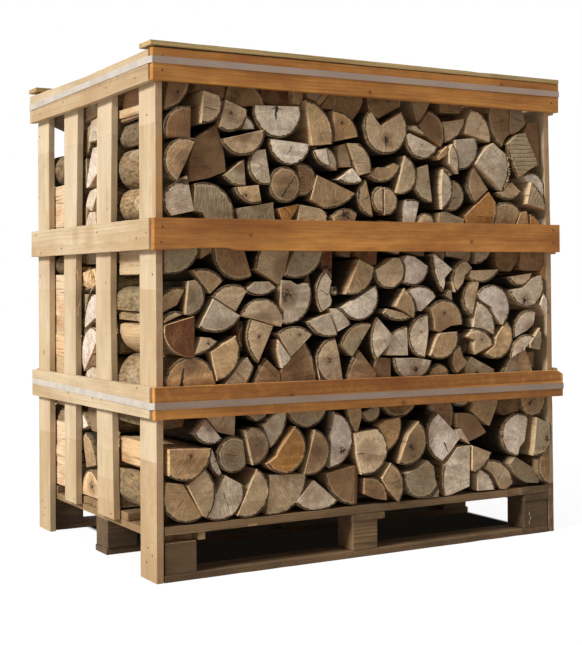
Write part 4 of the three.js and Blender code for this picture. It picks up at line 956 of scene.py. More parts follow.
        # the colour and marks of one log, as its faces hold them
        red, green, blue, _ = toneColours[row[0]]
        light = chance.uniform(*oddMarks["light"])
        warmth = chance.uniform(*oddMarks["warmth"])
        tone = (red * light * (1 + warmth), green * light, blue * light * (1 - warmth), 1.0)
        middle = Vector(middleOf(points))
        # painted shade from the top rail on the highest logs
        if middle.y > logLook["shadeFrom"]:
            tone = [value * logLook["shadeLeaves"] for value in tone]
        away = middle - Vector(pith)
        away = away.normalized() if away.length > 4 else Vector((1, 0))
        turn = chance.uniform(-oddMarks["crackTurn"], oddMarks["crackTurn"])
        away.rotate(Matrix.Rotation(turn, 2))
        half = chance.uniform(*oddMarks["crackHalf"])
        start, end = middle - away * half, middle + away * half
        width = sometimes(chance, *oddMarks["crack"])
        reach = oddMarks["knotAway"]
        spot = middle + Vector((chance.uniform(-reach, reach), chance.uniform(-reach, reach)))
        size = sometimes(chance, *oddMarks["knot"])
        for x1, z1, x2, z2, wide in self.marks.get("cracks", ()):
            if isInside((x1 + x2) / 2, (z1 + z2) / 2, points):
                start, end, width = Vector((x1, z1)), Vector((x2, z2)), wide
        for x, z, wide in self.marked("knots", points):
            spot, size = Vector((x, z)), wide
        star = sometimes(chance, *oddMarks["star"])
        for x, z, wide in self.marked("stars", points):
            start, end, star = Vector((x, z)), end if width else Vector((x, z + 1)), wide
        for x, z, wide in self.marked("hearts", points):
            spot, size = Vector((x, z)), -wide
        rings = chance.uniform(0.1, 1.0) ** 2
        if self.marked("ringed", points):
            rings = oddMarks["ringed"]
        tear = (0.0, 0.0, 0.0)
        for x, z, slope in self.marked("torn", points):
            slope = math.radians(slope)
            tear = (-math.sin(slope), math.cos(slope), 1.0)

        def fromPith(place, value):
            return (place.x - pith[0]) / 1000, (place.y - pith[1]) / 1000, value / 1000

        return {
            "logTone": tone,
            "logInfo": (radius / 1000, chance.random(), rings),
            "crackStart": fromPith(start, width),
            "crackEnd": fromPith(end, star),
            "logSpot": fromPith(spot, size),
            "logDepth": (self.enclosed(points), chance.random(), chance.random()),
            "logTear": tear,
        }

    def enclosed(self, points):
        # 1 for a log with others all round it, whose sides lie in dust and shade
        left, right, bottom, top = self.edges
        inside = all(left < x < right and bottom < z < top for x, z in points)
        return 1.0 if inside else 0.0

    def finished(self, materials):
        mesh = bpy.data.meshes.new(self.name)
        mesh.from_pydata(self.verts, [], self.faces)
        for material in materials:
            mesh.materials.append(material)
        mesh.polygons.foreach_set("material_index", self.finishes)
        layer = mesh.uv_layers.new(name="logPlace")
        layer.data.foreach_set("uv", [value for uv in self.uvs for value in uv])
        for key, values in self.looks.items():
            isColour = key == "logTone"
            kind = "FLOAT_COLOR" if isColour else "FLOAT_VECTOR"
            data = mesh.attributes.new(key, kind, "FACE").data
            data.foreach_set("color" if isColour else "vector", [v for value in values for v in value])
        mesh.shade_smooth()
        mesh.set_sharp_from_angle(angle=math.radians(logLook["sharpFrom"]))
        mesh.update()
        return linked(self.name, mesh)


def insideCrate(x, z, y):
    room = crate["logRoom"]
    left = crate["board"] + room
    right = rightFace(z) - crate["board"] - room
    return min(max(x, left), right), y, max(z, crate["deckTop"] + room)


def behindRails(y, z):
    atRail = any(low - 2 < z < high + 2 for low, high in railZones)
    return max(y, crate["logRoom"]) if atRail else y


def setBack(row):
    # how far behind the front plane the sawn end stands; logs behind a rail stay clear of it
    heights = [z for x, z in cornersOf(row)]
    atRail = any(max(heights) > low and min(heights) < high for low, high in railZones)
    return max(row[1], crate["logRoom"] + 2) if atRail else row[1]


rankEdges = (34, 1166, 131, 1140)


def frontRank():
    def place(x, z, depth):
        return at(*insideCrate(x, z, behindRails(depth, z)))

    pile = LogPile("frontRank", rankEdges)
    pile.toPlace = place
    pile.marks = frontMarks
    pile.sideExtra = logLook["sideExtra"]
    pile.addLogs([*lowLogs, *middleLogs, *highLogs, *topLogs], setBack, seeds["front"])
    return pile


# The back rank is stacked the other way up. Its left end shows between the slats and has logs of its
# own. A dark one, painted with the shade that the rails cast on it, hangs over the low corner there.
backPlace = {"face": 805, "leftColumn": 78, "cornerRight": 112, "cornerAbove": 1056}
leftLogs = [
    ("dark", 8, 0.1, 20, 1150, 110, 1116, 158, 1124, 158, 1186, 20, 1188),
    ("brown", 4, 46, 66, 1013),
    ("pale", 0, 0.45, 21, 964, 21, 852, 104, 852),
    ("grey", 4, 0.5, 21, 853, 21, 776, 98, 774),
    ("brown", 4, 29, 49, 747),
    ("pale", 0, 0.4, 21, 719, 21, 605, 112, 605),
    ("grey", 0, 0.3, 21, 606, 21, 552, 116, 551),
    ("golden", 0, 0.3, 21, 553, 21, 494, 112, 494),
    ("tan", 0, 0.4, 21, 495, 21, 446, 104, 446),
    ("grey", 4, 0.5, 21, 447, 21, 358, 98, 357),
    ("grey", 4, 0.98, 24, 309, 122, 309),
    ("pale", 0, 0.25, 21, 310, 21, 241, 122, 240),
    ("pale", 0, 0.2, 21, 242, 21, 213, 122, 212),
    ("pale", 0, 0.4, 21, 214, 21, 134, 122, 133),
]


def backRank():
    def place(x, z, depth):
        x, depth, z = insideCrate(x, z, behindRails(depth, z))
        return at(x, backPlace["face"] - depth, z)

    def isKept(row):
        corners = cornersOf(row)
        right, above = backPlace["cornerRight"], backPlace["cornerAbove"]
        isLeft = min(x for x, z in corners) <= backPlace["leftColumn"]
        return not isLeft and not any(x < right and z > above for x, z in corners)

    rows = turnedOver(lowLogs, *zones["low"]) + turnedOver(middleLogs, *zones["middle"])
    rows += turnedOver(highLogs, *zones["high"]) + topLogs
    pile = LogPile("backRank", rankEdges)
    pile.toPlace = place
    pile.isReversed = True
    pile.addLogs([*filter(isKept, rows), *leftLogs], setBack, seeds["back"])
    return pile


# the middle rank lies crosswise, in four lengths from the left side to the right one
crossPlace = {
    "starts": (20, 305, 597),  # the fourth length stands at the right side
    "upDown": (134, 1180),
    "frontBack": (262, 545),
    "edges": (275, 530, 140, 1120),
    "behindSide": 284,  # the left end's logs of the front rank reach nearly so far
    "behindFrom": 225,
}


def middleRank():
    least = crate["board"] + crate["logRoom"]
    zone = crossPlace["upDown"]

    def fromLeft(start):
        nearest = crossPlace["behindSide"] if start == crossPlace["starts"][0] else 0

        def place(y, z, depth):
            behind = nearest if z > crossPlace["behindFrom"] else 0
            return at(max(start + depth, least), max(y, behind), z)

        return place

    def fromRight(y, z, depth):
        face = rightFace(z) - crate["board"] - crate["logRoom"]
        return at(min(face - depth, face), y, z)

    first, second, third = [fromLeft(start) for start in crossPlace["starts"]]
    lengths = [
        (first, True, crosswiseLogs),
        (second, True, turnedOver(crosswiseLogs, *zone)),
        (third, True, turnedRound(crosswiseLogs, *crossPlace["frontBack"])),
        (fromRight, False, turnedOver(crosswiseLogs, *zone)),
    ]
    pile = LogPile("middleRank", crossPlace["edges"])
    for number, (place, isReversed, rows) in enumerate(lengths):
        pile.marks = crossMarks if number == 0 else {}
        pile.toPlace = place
        pile.isReversed = isReversed
        seed = seeds["middle"] + seeds["middleStep"] * number
        pile.addLogs(rows, lambda row: row[1], seed)
    return pile


# Effects that more than one material uses


def crackGroup():
    # how near a point lies to a line from Start to End, 1 on it, as for a drying crack
    sizes = {"Place": "Vector", "Start": "Vector", "End": "Vector", "Width": "Float"}
    group, given, out = newGroup("dryingCrack", sizes, ["Mask"])
    line = vector("SUBTRACT", given["End"], given["Start"])
    towards = vector("SUBTRACT", given["Place"], given["Start"])
    reach = vector("DOT_PRODUCT", line, line)
    share = calc("DIVIDE", vector("DOT_PRODUCT", towards, line), reach, clamp=True)
    distance = vector("DISTANCE", towards, vector("MULTIPLY", line, share))
    width = times(given["Width"], timesPlus(share, -0.7, 1.0))  # narrower towards its end
    mask = ramp(distance, times(width, 0.35), plus(width, 0.0001), 1.0, 0.0)
    link(times(mask, calc("GREATER_THAN", given["Width"], 0.0001)), out["Mask"])
    return group


def knotGroup():
    # a knot round a point: its core, its heart and the stained wood round it, each 1 within
    # the first share of the radius and 0 past the second
    reaches = {"Core": (0.1, 0.4), "Heart": (0.6, 1.0), "Halo": (0.9, 2.4)}
    sizes = {"Place": "Vector", "Centre": "Vector", "Radius": "Float"}
    group, given, out = newGroup("woodKnot", sizes, reaches)
    uneven = scaled(noiseOf(given["Place"], 90, 2), -0.35, 0.35)
    distance = over(vector("DISTANCE", given["Place"], given["Centre"]), given["Radius"])
    distance = plus(distance, uneven)
    for name, (full, gone) in reaches.items():
        link(ramp(distance, full, gone, 1.0, 0.0), out[name])
    return group


def grainGroup():
    # the figure of a sawn board: growth rings round a pith outside it, fibre and saw marks
    names = ["Rings", "Fibre", "Streak", "Saw", "Cloud", "Height"]
    sizes = {"Place": "Vector", "Ring Width": "Float", "Bend": "Float"}
    group, given, out = newGroup("sawnGrain", sizes, names)
    place = given["Place"]
    _, across, through = split(place)
    wander = scaled(noiseOf(vector("MULTIPLY", place, (0.45, 3.0, 1.0)), 3.0, 3), -1.0, 1.0)
    fromPith = calc("SQRT", plus(times(across, across), times(through, through)))
    fromPith = timesPlus(wander, given["Bend"], fromPith)
    wave = calc("FRACT", over(fromPith, given["Ring Width"]))
    rings = times(ramp(wave, 0.25, 0.93), ramp(wave, 0.93, 1.0, 1.0, 0.0))
    fibre = streaks(place, (12.0, 420.0, 420.0), 3, 0.6)
    streak = ramp(streaks(place, (2.2, 75.0, 75.0), 4, 0.62), 0.32, 0.68)
    saw = streaks(place, (330.0, 14.0, 14.0), 1)
    cloud = streaks(place, (3.0, 12.0, 12.0), 4, 0.6)
    height = timesPlus(saw, 0.4, timesPlus(rings, -0.25, fibre))
    for name, value in zip(names, (rings, fibre, streak, saw, cloud, height)):
        link(value, out[name])
    return group


# The logs' three finishes. Their faces carry places from the pith and the marks of each log.

logPaint = paints({
    "heart": (112, 82, 56),
    "rot": (58, 42, 30),
    "dark": (30, 22, 16),
    "sapwood": (208, 184, 148),
    "splitLight": (214, 184, 142),
    "splitWarm": (176, 124, 82),
    "splitDark": (110, 74, 48),
    "bark": (166, 134, 92),
    "barkDark": (94, 72, 48),
    "rimDark": (62, 45, 30),
    "barkGrey": (168, 150, 120),
    "barkMoss": (150, 130, 82),
    "barkPale": (206, 188, 156),
    "crumb": (146, 120, 82),
    "stain": (150, 112, 76),
})
sideDustAndShade = {
    # metres behind the sawn end where the dust and painted shade begin and where they are full, and
    # what they leave
    "split": (0.006, 0.045),
    "bark": (0.0, 0.018),
    "leaves": 0.14,
}
endLook = {
    "ringWidth": (0.0024, 0.0046),  # metres, from log to log
    "ringBend": 0.012,
    "ringDepth": (0.05, 0.32),
    "sawDepth": (0.03, 0.2),
    "darkMottle": 1.4,  # how much more mottled the dark ends are than the light ones
    "checks": 0.45,
    "stain": (0.15, 0.6),
    "heart": 0.7,
    "rim": (0.0034, 0.0052),  # metres inside the bark where the rim ends
    "rimWander": (0.005, 0.003),  # its slow and its fast unevenness
    "sapwood": 0.35,
    "halo": (0.2, 0.55),
    "darkHeart": 0.65,
    "tornStep": 0.0115,  # metres from layer to layer
    "tornBend": 0.006,
    "torn": 0.75,
    "lifted": 0.35,
    "crackShake": 0.004,
    "star": 0.85,
    "bump": 0.002,
}


def logSurface(name, roughness):
    # a material with the place on a log and the marks that its faces hold
    material, tree, surface = newMaterial(name, roughness)
    log = SimpleNamespace(tree=tree)
    log.x, log.y, _ = split(add(tree, "ShaderNodeUVMap", uv_map="logPlace").outputs["UV"])
    tone = attribute(tree, "logTone")
    log.tone = tone["Color"]
    log.toneLight = vector("DOT_PRODUCT", tone["Vector"], (0.33, 0.33, 0.33))
    log.radius, log.seed, log.ringShare = split(attribute(tree, "logInfo")["Vector"])
    log.enclosed, log.dirtShare, log.sawShare = split(attribute(tree, "logDepth")["Vector"])
    return material, surface, log


def layered(colour, *layers):
    # one paint after another over the colour, each with its mask
    for mask, name in layers:
        colour = blend(mask, colour, logPaint[name])
    return colour


def endWood(log):
    # growth rings, bent a little
    wander = scaled(noiseOf(log.place, 16, 3), -0.5, 0.5)
    bent = timesPlus(wander, endLook["ringBend"], log.fromPith)
    ringWidth = scaled(log.seed, *endLook["ringWidth"])
    ringWidth = times(ringWidth, ramp(log.ringShare, 1.0, 1.5, 1.0, 2.0))
    ring = ramp(calc("FRACT", over(bent, ringWidth)), 0.1, 1.0)
    ring = times(ring, scaled(log.ringShare, *endLook["ringDepth"]))

    # rays and fine checks that run from the pith outwards
    angle = calc("ARCTAN2", log.y, log.x)
    rays = streaks(joined(angle, log.fromPith, log.seed), (30.0, 14.0, 1.0), 3, 0.65)
    checks = streaks(joined(angle, log.fromPith, log.place), (19.0, 22.0, 1.0), 2, 0.5)
    checks = times(ramp(checks, 0.66, 0.72), endLook["checks"])

    # strokes of the chain saw, each log at its own angle
    sawTurn = times(log.seed, 37.0)
    cosine, sine = calc("COSINE", sawTurn), calc("SINE", sawTurn)
    sawAlong = plus(times(log.x, cosine), times(log.y, sine))
    sawAcross = minus(times(log.x, sine), times(log.y, cosine))
    saw = streaks(joined(sawAlong, sawAcross, log.seed), (330.0, 34.0, 1.0), 3, 0.6)
    saw = ramp(saw, 0.32, 0.68)
    sawDepth = scaled(log.sawShare, *endLook["sawDepth"])

    speckle = noiseOf(log.place, 300, 3, 0.7)
    light = times(
        minus(1.05, ring),
        ramp(log.blotch, 0.3, 0.66, 0.82, 1.12),
        ramp(rays, 0.3, 0.7, 0.82, 1.16),
        ramp(log.mottle, 0.34, 0.66, 0.86, 1.12),
        timesPlus(scaled(saw, -1.0, 1.0), sawDepth, 1.0),
        ramp(speckle, 0.34, 0.66, 0.88, 1.1),
    )
    light = calc("POWER", light, ramp(log.toneLight, 0.05, 0.2, endLook["darkMottle"], 1.0))

    # lighter patches on the dark ends, warm stains, and the brown heart round the pith
    pale = times(
        ramp(log.blotch, 0.42, 0.6),
        ramp(log.toneLight, 0.05, 0.14, 0.6, 0.0),
        ramp(log.toneLight, 0.045, 0.065),
    )
    stain = noiseOf(vector("ADD", log.place, (3.0, 1.0, 5.0)), 22, 4, 0.6)
    warm = times(ramp(stain, 0.48, 0.7), scaled(log.dirtShare, *endLook["stain"]))
    heart = times(
        ramp(over(bent, log.radius), 0.3, 0.62, 1.0, 0.0),
        ramp(calc("FRACT", times(log.seed, 17.0)), 0.45, 1.0, 0.0, endLook["heart"]),
        ramp(log.blotch, 0.3, 0.6, 0.4, 1.0),
    )
    colour = tinted(log.tone, light)
    colour = layered(colour, (pale, "crumb"), (warm, "stain"), (heart, "heart"), (checks, "heart"))
    return colour, timesPlus(saw, times(sawDepth, 6.0), times(speckle, 0.5))


def endRim(log, colour):
    # the bark's rim, crumbled to an uneven width, with a thin light line inside it
    crumbs = noiseOf(log.place, 210, 3, 0.7)
    fromBark = minus(log.radius, log.fromPith)
    for uneven, reach in zip((log.mottle, crumbs), endLook["rimWander"]):
        fromBark = timesPlus(scaled(uneven, -1, 1), reach, fromBark)
    atBark = ramp(fromBark, -0.01, -0.007)
    sapwood = times(ramp(fromBark, 0.005, 0.011, 1.0, 0.0), endLook["sapwood"], atBark)
    rim = times(ramp(fromBark, *endLook["rim"], 1.0, 0.0), atBark)
    rimColour = blend(ramp(crumbs, 0.54, 0.66, 0.0, 0.7), logPaint["rimDark"], logPaint["crumb"])
    return blend(rim, layered(colour, (sapwood, "sapwood")), rimColour), rim


def endKnot(log, colour, group):
    # a knot with rot round it, or a plain dark heart where the size is below nought
    spotX, spotZ, size = split(attribute(log.tree, "logSpot")["Vector"])
    radius = plus(calc("ABSOLUTE", size), 0.00001)
    knot = use(group, {"Place": log.flat, "Centre": joined(spotX, spotZ), "Radius": radius})
    isRotten = calc("GREATER_THAN", size, 0.0)
    patchy = ramp(noiseOf(log.place, 130, 4, 0.7), 0.38, 0.58)
    halo = times(knot["Halo"], scaled(patchy, *endLook["halo"]))
    heart = times(knot["Heart"], calc("SUBTRACT", endLook["darkHeart"], isRotten, clamp=True))
    rotten = times(knot["Heart"], patchy, isRotten)
    core = times(knot["Core"], 0.9, isRotten)
    return layered(colour, (halo, "heart"), (heart, "heart"), (rotten, "rot"), (core, "dark"))


def endTear(log, colour):
    # layers that the saw has torn, some millimetres apart
    tearX, tearZ, isTorn = split(attribute(log.tree, "logTear")["Vector"])
    layer = plus(times(log.x, tearX), times(log.y, tearZ))
    layer = timesPlus(scaled(log.blotch, -1, 1), endLook["tornBend"], layer)
    layer = calc("FRACT", over(layer, endLook["tornStep"]))
    torn = times(ramp(layer, 0.0, 0.24, 1.0, 0.0), isTorn, ramp(log.mottle, 0.3, 0.5, 0.4, 1.0))
    lifted = times(ramp(layer, 0.6, 0.95), isTorn, endLook["lifted"])
    colour = layered(colour, (times(torn, endLook["torn"]), "heart"), (lifted, "sapwood"))
    return colour, torn


def endCrack(log, colour, group):
    # a drying crack, and a star of short cracks round its start
    startX, startZ, width = split(attribute(log.tree, "crackStart")["Vector"])
    endX, endZ, starSize = split(attribute(log.tree, "crackEnd")["Vector"])
    start = joined(startX, startZ)
    shake = times(scaled(noiseOf(log.place, 60, 3), -1, 1), endLook["crackShake"])
    shaken = joined(plus(log.x, shake), minus(log.y, shake))
    values = {"Place": shaken, "Start": start, "End": joined(endX, endZ), "Width": width}
    crack = use(group, values)["Mask"]
    apart = vector("SUBTRACT", shaken, start)
    apartX, apartZ, _ = split(apart)
    turn = timesPlus(calc("ARCTAN2", apartZ, apartX), 2.5, times(log.seed, 9.0))
    reach = vector("LENGTH", apart)
    starSize = plus(starSize, 0.0001)
    spoke = over(times(calc("ABSOLUTE", calc("SINE", turn)), reach), starSize)
    star = times(ramp(spoke, 0.06, 0.17, 1, 0), ramp(over(reach, starSize), 0.5, 1.0, 1, 0))
    crack = calc("MAXIMUM", crack, times(star, endLook["star"]))
    return layered(colour, (crack, "dark")), crack


def endGrain(groups):
    material, surface, log = logSurface("beechEnd", roughness=0.85)
    log.flat = joined(log.x, log.y)
    log.place = joined(log.x, log.y, times(log.seed, 7.0))
    log.fromPith = vector("LENGTH", log.flat)
    log.blotch = noiseOf(log.place, 15, 5, 0.6)
    log.mottle = noiseOf(log.place, 75, 4, 0.65)
    colour, height = endWood(log)
    colour, rim = endRim(log, colour)
    colour = endKnot(log, colour, groups["knot"])
    colour, torn = endTear(log, colour)
    colour, crack = endCrack(log, colour, groups["crack"])
    link(colour, surface.inputs["Base Color"])
    for mask, rise in ((log.mottle, 1.1), (crack, -2.5), (torn, -2.5), (rim, -1.0)):
        height = timesPlus(mask, rise, height)
    bump(surface, height, 0.6, endLook["bump"])
    return material


def shaded(log, colour, kind):
    # enclosed logs get darker along their sides, away from the swept ends: dust and painted shade
    depth = ramp(log.x, *sideDustAndShade[kind], 1.0, sideDustAndShade["leaves"])
    return tinted(colour, timesPlus(minus(depth, 1.0), log.enclosed, 1.0))


def splitFace():
    material, surface, log = logSurface("beechSplit", roughness=0.8)

    def fibresOf(stretch, offset, detail):
        place = joined(log.x, log.y, plus(times(log.seed, 11.0), offset))
        return streaks(place, (*stretch, 1.0), detail, 0.62)

    fine = fibresOf((9.0, 300.0), 0.0, 4)
    strand = fibresOf((5.0, 70.0), 3.0, 3)
    patch = fibresOf((7.0, 16.0), 6.0, 3)
    colour = layered(
        log.tone,
        (ramp(log.toneLight, 0.08, 0.3, 0.12, 0.6), "splitLight"),
        (ramp(patch, 0.45, 0.72, 0.0, 0.7), "splitWarm"),
        (ramp(strand, 0.56, 0.72, 0.0, 0.75), "splitDark"),
    )
    colour = tinted(colour, ramp(fine, 0.25, 0.75, 0.78, 1.14))
    link(shaded(log, colour, "split"), surface.inputs["Base Color"])
    bump(surface, timesPlus(strand, 2.0, fine), 0.8, 0.0022)
    return material


def barkLook():
    material, surface, log = logSurface("beechBark", roughness=0.92)
    place = objectPlace(log.tree)
    ridged = vector("MULTIPLY", joined(log.x, log.y, log.seed), (42.0, 120.0, 23.0))
    ridges = noiseOf(ridged, 1.0, 5, 0.7)
    values = {"Vector": ridged, "Scale": 0.7}
    cells = add(log.tree, "ShaderNodeTexVoronoi", values, feature="F1").outputs["Distance"]
    patch = noiseOf(place, 13, 4, 0.6)
    lichen = noiseOf(place, 95, 5, 0.75)
    deep = ramp(ridges, 0.36, 0.6)
    # mossy logs and pale ones, with grey lichen on both
    mossShare = calc("FRACT", times(log.seed, 5.0))
    pale = times(ramp(patch, 0.5, 0.6), minus(1.0, mossShare), ramp(lichen, 0.4, 0.6, 0.2, 0.7))
    plain, mossy = [blend(deep, logPaint["barkDark"], logPaint[name]) for name in ("bark", "barkMoss")]
    colour = blend(times(ramp(patch, 0.4, 0.62), mossShare), plain, mossy)
    grey = ramp(lichen, 0.46, 0.66, 0.0, 0.55)
    colour = layered(colour, (grey, "barkGrey"), (pale, "barkPale"))
    colour = tinted(colour, ramp(log.toneLight, 0.08, 0.45, 0.62, 1.1))
    colour = tinted(colour, ramp(cells, 0.1, 0.6, 1.06, 0.84))
    link(shaded(log, colour, "bark"), surface.inputs["Base Color"])
    bump(surface, timesPlus(ridges, 1.6, times(cells, -0.6)), 0.9, 0.003)
    return material


# The boards. Each is worn from a copy of its CAD node's mesh and replaces that node.

boardLook = {
    "bevel": 1.4,
    "sharpFrom": 30,  # degrees
    "cutEvery": 40,
    "cutShake": 6,
    "wander": 0.5,  # how far faces fall in
    "wanderScale": 9,
    "nick": 1.6,  # how deep the edges are nicked
    "nickScale": 37,
    "nickFrom": 0.25,
    "edgeFrom": 0.2,  # radians
    "merge": 0.00001,  # metres
    # metres along, across and through the board, from its pith to its low corner
    "fromPith": ((0, 9), (-0.02, 0.05), (0.03, 0.16)),
    "seed": 5,
}
# node names by their start, with the material, the slot and the axes along, across and through
# the piece where its sizes don't tell them
boardKinds = [
    (("post_", "slat_"), "side", "crate_side_wood", None),
    (("rail_left_", "rail_right_"), "rail", "crate_side_wood", None),
    (("rail_front_", "rail_back_"), "front", "crate_front_wood", None),
    ("top_board_", "weathered", "weathered_wood", None),
    ("pallet_block_", "pallet", "pallet_wood", (0, 2, 1)),
    ("pallet_", "pallet", "pallet_wood", None),
]


def wornBoard(name, nodeName, material, number, axes):
    low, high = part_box(nodeName)
    size = high - low
    axes = axes or sorted(range(3), key=lambda axis: -size[axis])
    chance = random.Random(boardLook["seed"] + number)
    mesh = bpy.data.meshes.new(name)
    bm = bmesh.new()
    bm.from_mesh(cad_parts[nodeName].data)
    bmesh.ops.remove_doubles(bm, verts=bm.verts, dist=boardLook["merge"])
    bmesh.ops.dissolve_limit(bm, angle_limit=math.radians(0.5), verts=bm.verts, edges=bm.edges)
    along = Vector([1.0 if axis == axes[0] else 0.0 for axis in range(3)])
    cuts = int(size[axes[0]] * 1000 / boardLook["cutEvery"])
    shake = boardLook["cutShake"] / 1000
    for i in range(1, cuts + 1):
        point = low + along * (size[axes[0]] * i / (cuts + 1) + chance.uniform(-shake, shake))
        parts = [*bm.verts, *bm.edges, *bm.faces]
        bmesh.ops.bisect_plane(
            bm, geom=parts, plane_co=point, plane_no=along, dist=boardLook["merge"]
        )
    sharpFrom = math.radians(boardLook["sharpFrom"])
    sharp = [edge for edge in bm.edges if edge.is_manifold and edge.calc_face_angle() > sharpFrom]
    settings = {"segments": 2, "affect": "EDGES", "profile": 0.6, "clamp_overlap": True}
    bmesh.ops.bevel(bm, geom=sharp, offset=boardLook["bevel"] / 1000, **settings)
    bm.normal_update()
    shift = Vector([chance.uniform(0, 50) for _ in range(3)])
    for vert in bm.verts:
        place = vert.co + shift
        hollow = 0.5 + 0.5 * noise.noise(place * boardLook["wanderScale"])
        chip = noise.noise(place * boardLook["nickScale"]) - boardLook["nickFrom"]
        isEdge = any(edge.calc_face_angle(0) > boardLook["edgeFrom"] for edge in vert.link_edges)
        nick = boardLook["nick"] * max(0.0, chip) * 2 if isEdge else 0
        vert.co -= vert.normal * (boardLook["wander"] * hollow + nick) / 1000
    bm.to_mesh(mesh)
    bm.free()
    setBoardPlaces(mesh, low, axes, chance)
    mesh.materials.append(material)
    board = linked(name, mesh)
    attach(board, "root")
    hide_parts(nodeName)


def setBoardPlaces(mesh, low, axes, chance):
    # each point's place along, across and through the board, seen from a pith outside it
    shift = [chance.uniform(least, most) for least, most in boardLook["fromPith"]]
    values = []
    for vert in mesh.vertices:
        place = vert.co - low
        values += [place[axis] + away for axis, away in zip(axes, shift)]
    mesh.attributes.new("boardPlace", "FLOAT_VECTOR", "POINT").data.foreach_set("vector", values)


def makeBoards(materials):
    made = 0
    for nodeName in sorted(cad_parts):
        for start, look, slotName, axes in boardKinds:
            if nodeName.startswith(start):
                words = nodeName.split("_")
                name = words[0] + "".join(word.capitalize() for word in words[1:])
                wornBoard(name, nodeName, materials[look], made, axes)
                made += 1
                break
    return made


# Boards' finishes. The knots are places in the crate with a radius, all in millimetres.

sidePaint = paints({
    "light": (191, 174, 145),
    "dark": (168, 142, 107),
    "late": (154, 122, 86),
    "knot": (112, 80, 52),
})
frontPaint = paints({
    "light": (204, 144, 72),
    "dark": (152, 93, 38),
    "late": (130, 74, 30),
    "knot": (92, 52, 26),
})
palletPaint = paints({"light": (134, 106, 72), "dark": (88, 66, 42), "late": (66, 49, 32)})
weatheredPaint = paints({"light": (198, 172, 122), "dark": (160, 134, 88), "late": (128, 104, 66)})
woodGrain = {"Ring Width": 0.0042, "Bend": 0.007}
markLook = {
    "halo": 0.35,  # how strong a knot's halo and heart are
    "heart": 0.75,
    "ring": 0.3,  # and a hidden knot's outline and inside
    "inside": 0.45,
    # metres: the width of the outline, how uneven it is, and the soft edges of bands, stains and
    # painted shade and light
    "ringWidth": 0.008,
    "ringShake": 0.004,
    "bandEdge": 0.002,
    "stainEdge": 0.001,
}
frontKnots = [
    (682, -18, 385, 7),
    (350, -18, 420, 6),
    (583, -18, 1172, 5),
    (905, -18, 800, 5),
    (240, -18, 806, 4),
    (1010, -18, 1222, 5),
]
sideKnots = [
    (1196, 0, 1062, 9),
    (0, 295, 880, 5),
    (-18, 640, 420, 6),
    (-18, 180, 1196, 5),
    (0, 770, 500, 6),
]
# the outlines of a knot that lies just under the face, as a place and a radius
sideRings = [(-18, 372, 812, 29), (-18, 470, 816, 21)]
# stains, painted shade and painted light, each a box between two corners with its colour and strength
sideStainsAndShade = [
    # darker, more orange front faces of the posts: a warmer tone with painted shade on the faces turned
    # from the light
    ((-3, -3, 0), (1210, 1.2, 1241), (148, 100, 54), 0.5),
    ((-3, -3, 860), (20, 1.2, 1036), (196, 140, 72), 0.4),
    # painted shadow under the middle rail on the near post's front face
    ((-3, -3, 738), (20, 1.2, 770), (104, 70, 36), 0.4),
    ((-3, 100, 380), (3, 700, 678), (212, 198, 176), 0.15),
    ((-3, 100, 771), (3, 700, 1062), (214, 200, 180), 0.26),
    # darker towards the bottom on the near and far posts' left faces
    ((-3, -3, 0), (3, 97, 278), (152, 118, 76), 0.5),
    ((-3, -3, 380), (3, 97, 678), (166, 134, 92), 0.28),
    ((-3, 720, 0), (3, 815, 278), (160, 130, 92), 0.18),
    ((1170, -3, 0), (1210, 97, 134), (62, 46, 28), 0.75),
    ((1170, -3, 138), (1210, 97, 300), (186, 168, 146), 0.4),
    # darker at the lower ends of the near post and of slat 2
    ((-3, -3, 0), (20, 97, 60), (150, 122, 84), 0.3),
    ((-3, 250, 85), (20, 379, 205), (164, 130, 88), 0.35),
    ((-3, 250, 85), (20, 379, 150), (154, 122, 82), 0.3),
]
railStainsAndShadow = [
    ((-22, -3, 1149), (-14, 815, 1192), (150, 116, 76), 0.3),
    # painted shadow of the upper strap on the top left rail
    ((-22, -3, 1185), (-14, 815, 1193), (126, 94, 62), 0.35),
    ((-22, -3, 768), (-14, 240, 814), (166, 132, 88), 0.25),
]
frontStainsAndShadow = [
    ((-25, -22, 419), (1215, -14, 456), (110, 56, 6), 0.6),
    # painted shadow of the lower strap on the low front rail
    ((300, -22, 376), (1215, -14, 406), (112, 62, 16), 0.4),
    ((-25, -22, 1149), (130, -14, 1240), (124, 78, 30), 0.2),
    ((430, -22, 1149), (1215, -14, 1240), (126, 76, 22), 0.25),
    ((-25, -25, 370), (-17, 1, 1250), (116, 66, 24), 0.5),
]
palletStainsAndLight = [
    ((1090, -3, 0), (1190, 90, 130), (52, 40, 26), 0.55),
    ((20, -3, 0), (110, 20, 90), (74, 56, 36), 0.3),
    # painted light: the left cross board's end is lightened against the shade that its set-back place
    # gives it
    ((20, -3, 90), (135, 40, 112), (176, 148, 112), 0.5),
    ((238, -3, 111), (263, 12, 115), (190, 158, 112), 0.6),
    ((15, 14, 89), (135, 815, 128), (164, 130, 88), 0.4),
    ((15, 100, 0), (135, 815, 88), (44, 32, 22), 0.55),
    ((1117, -3, 28), (1118.5, 4, 36), (206, 184, 146), 0.8),
    ((1121, -3, 40), (1122.5, 4, 48), (206, 184, 146), 0.8),
    ((1117, -3, 53), (1118.5, 4, 60), (206, 184, 146), 0.8),
]
# the paler band below each rail, as its bottom and top in metres and its strength
sideBands = [(0.278, 0.379, 0.16), (0.677, 0.77, 0.18), (1.063, 1.156, 0.3)]
bandColour = paint(220, 200, 176)

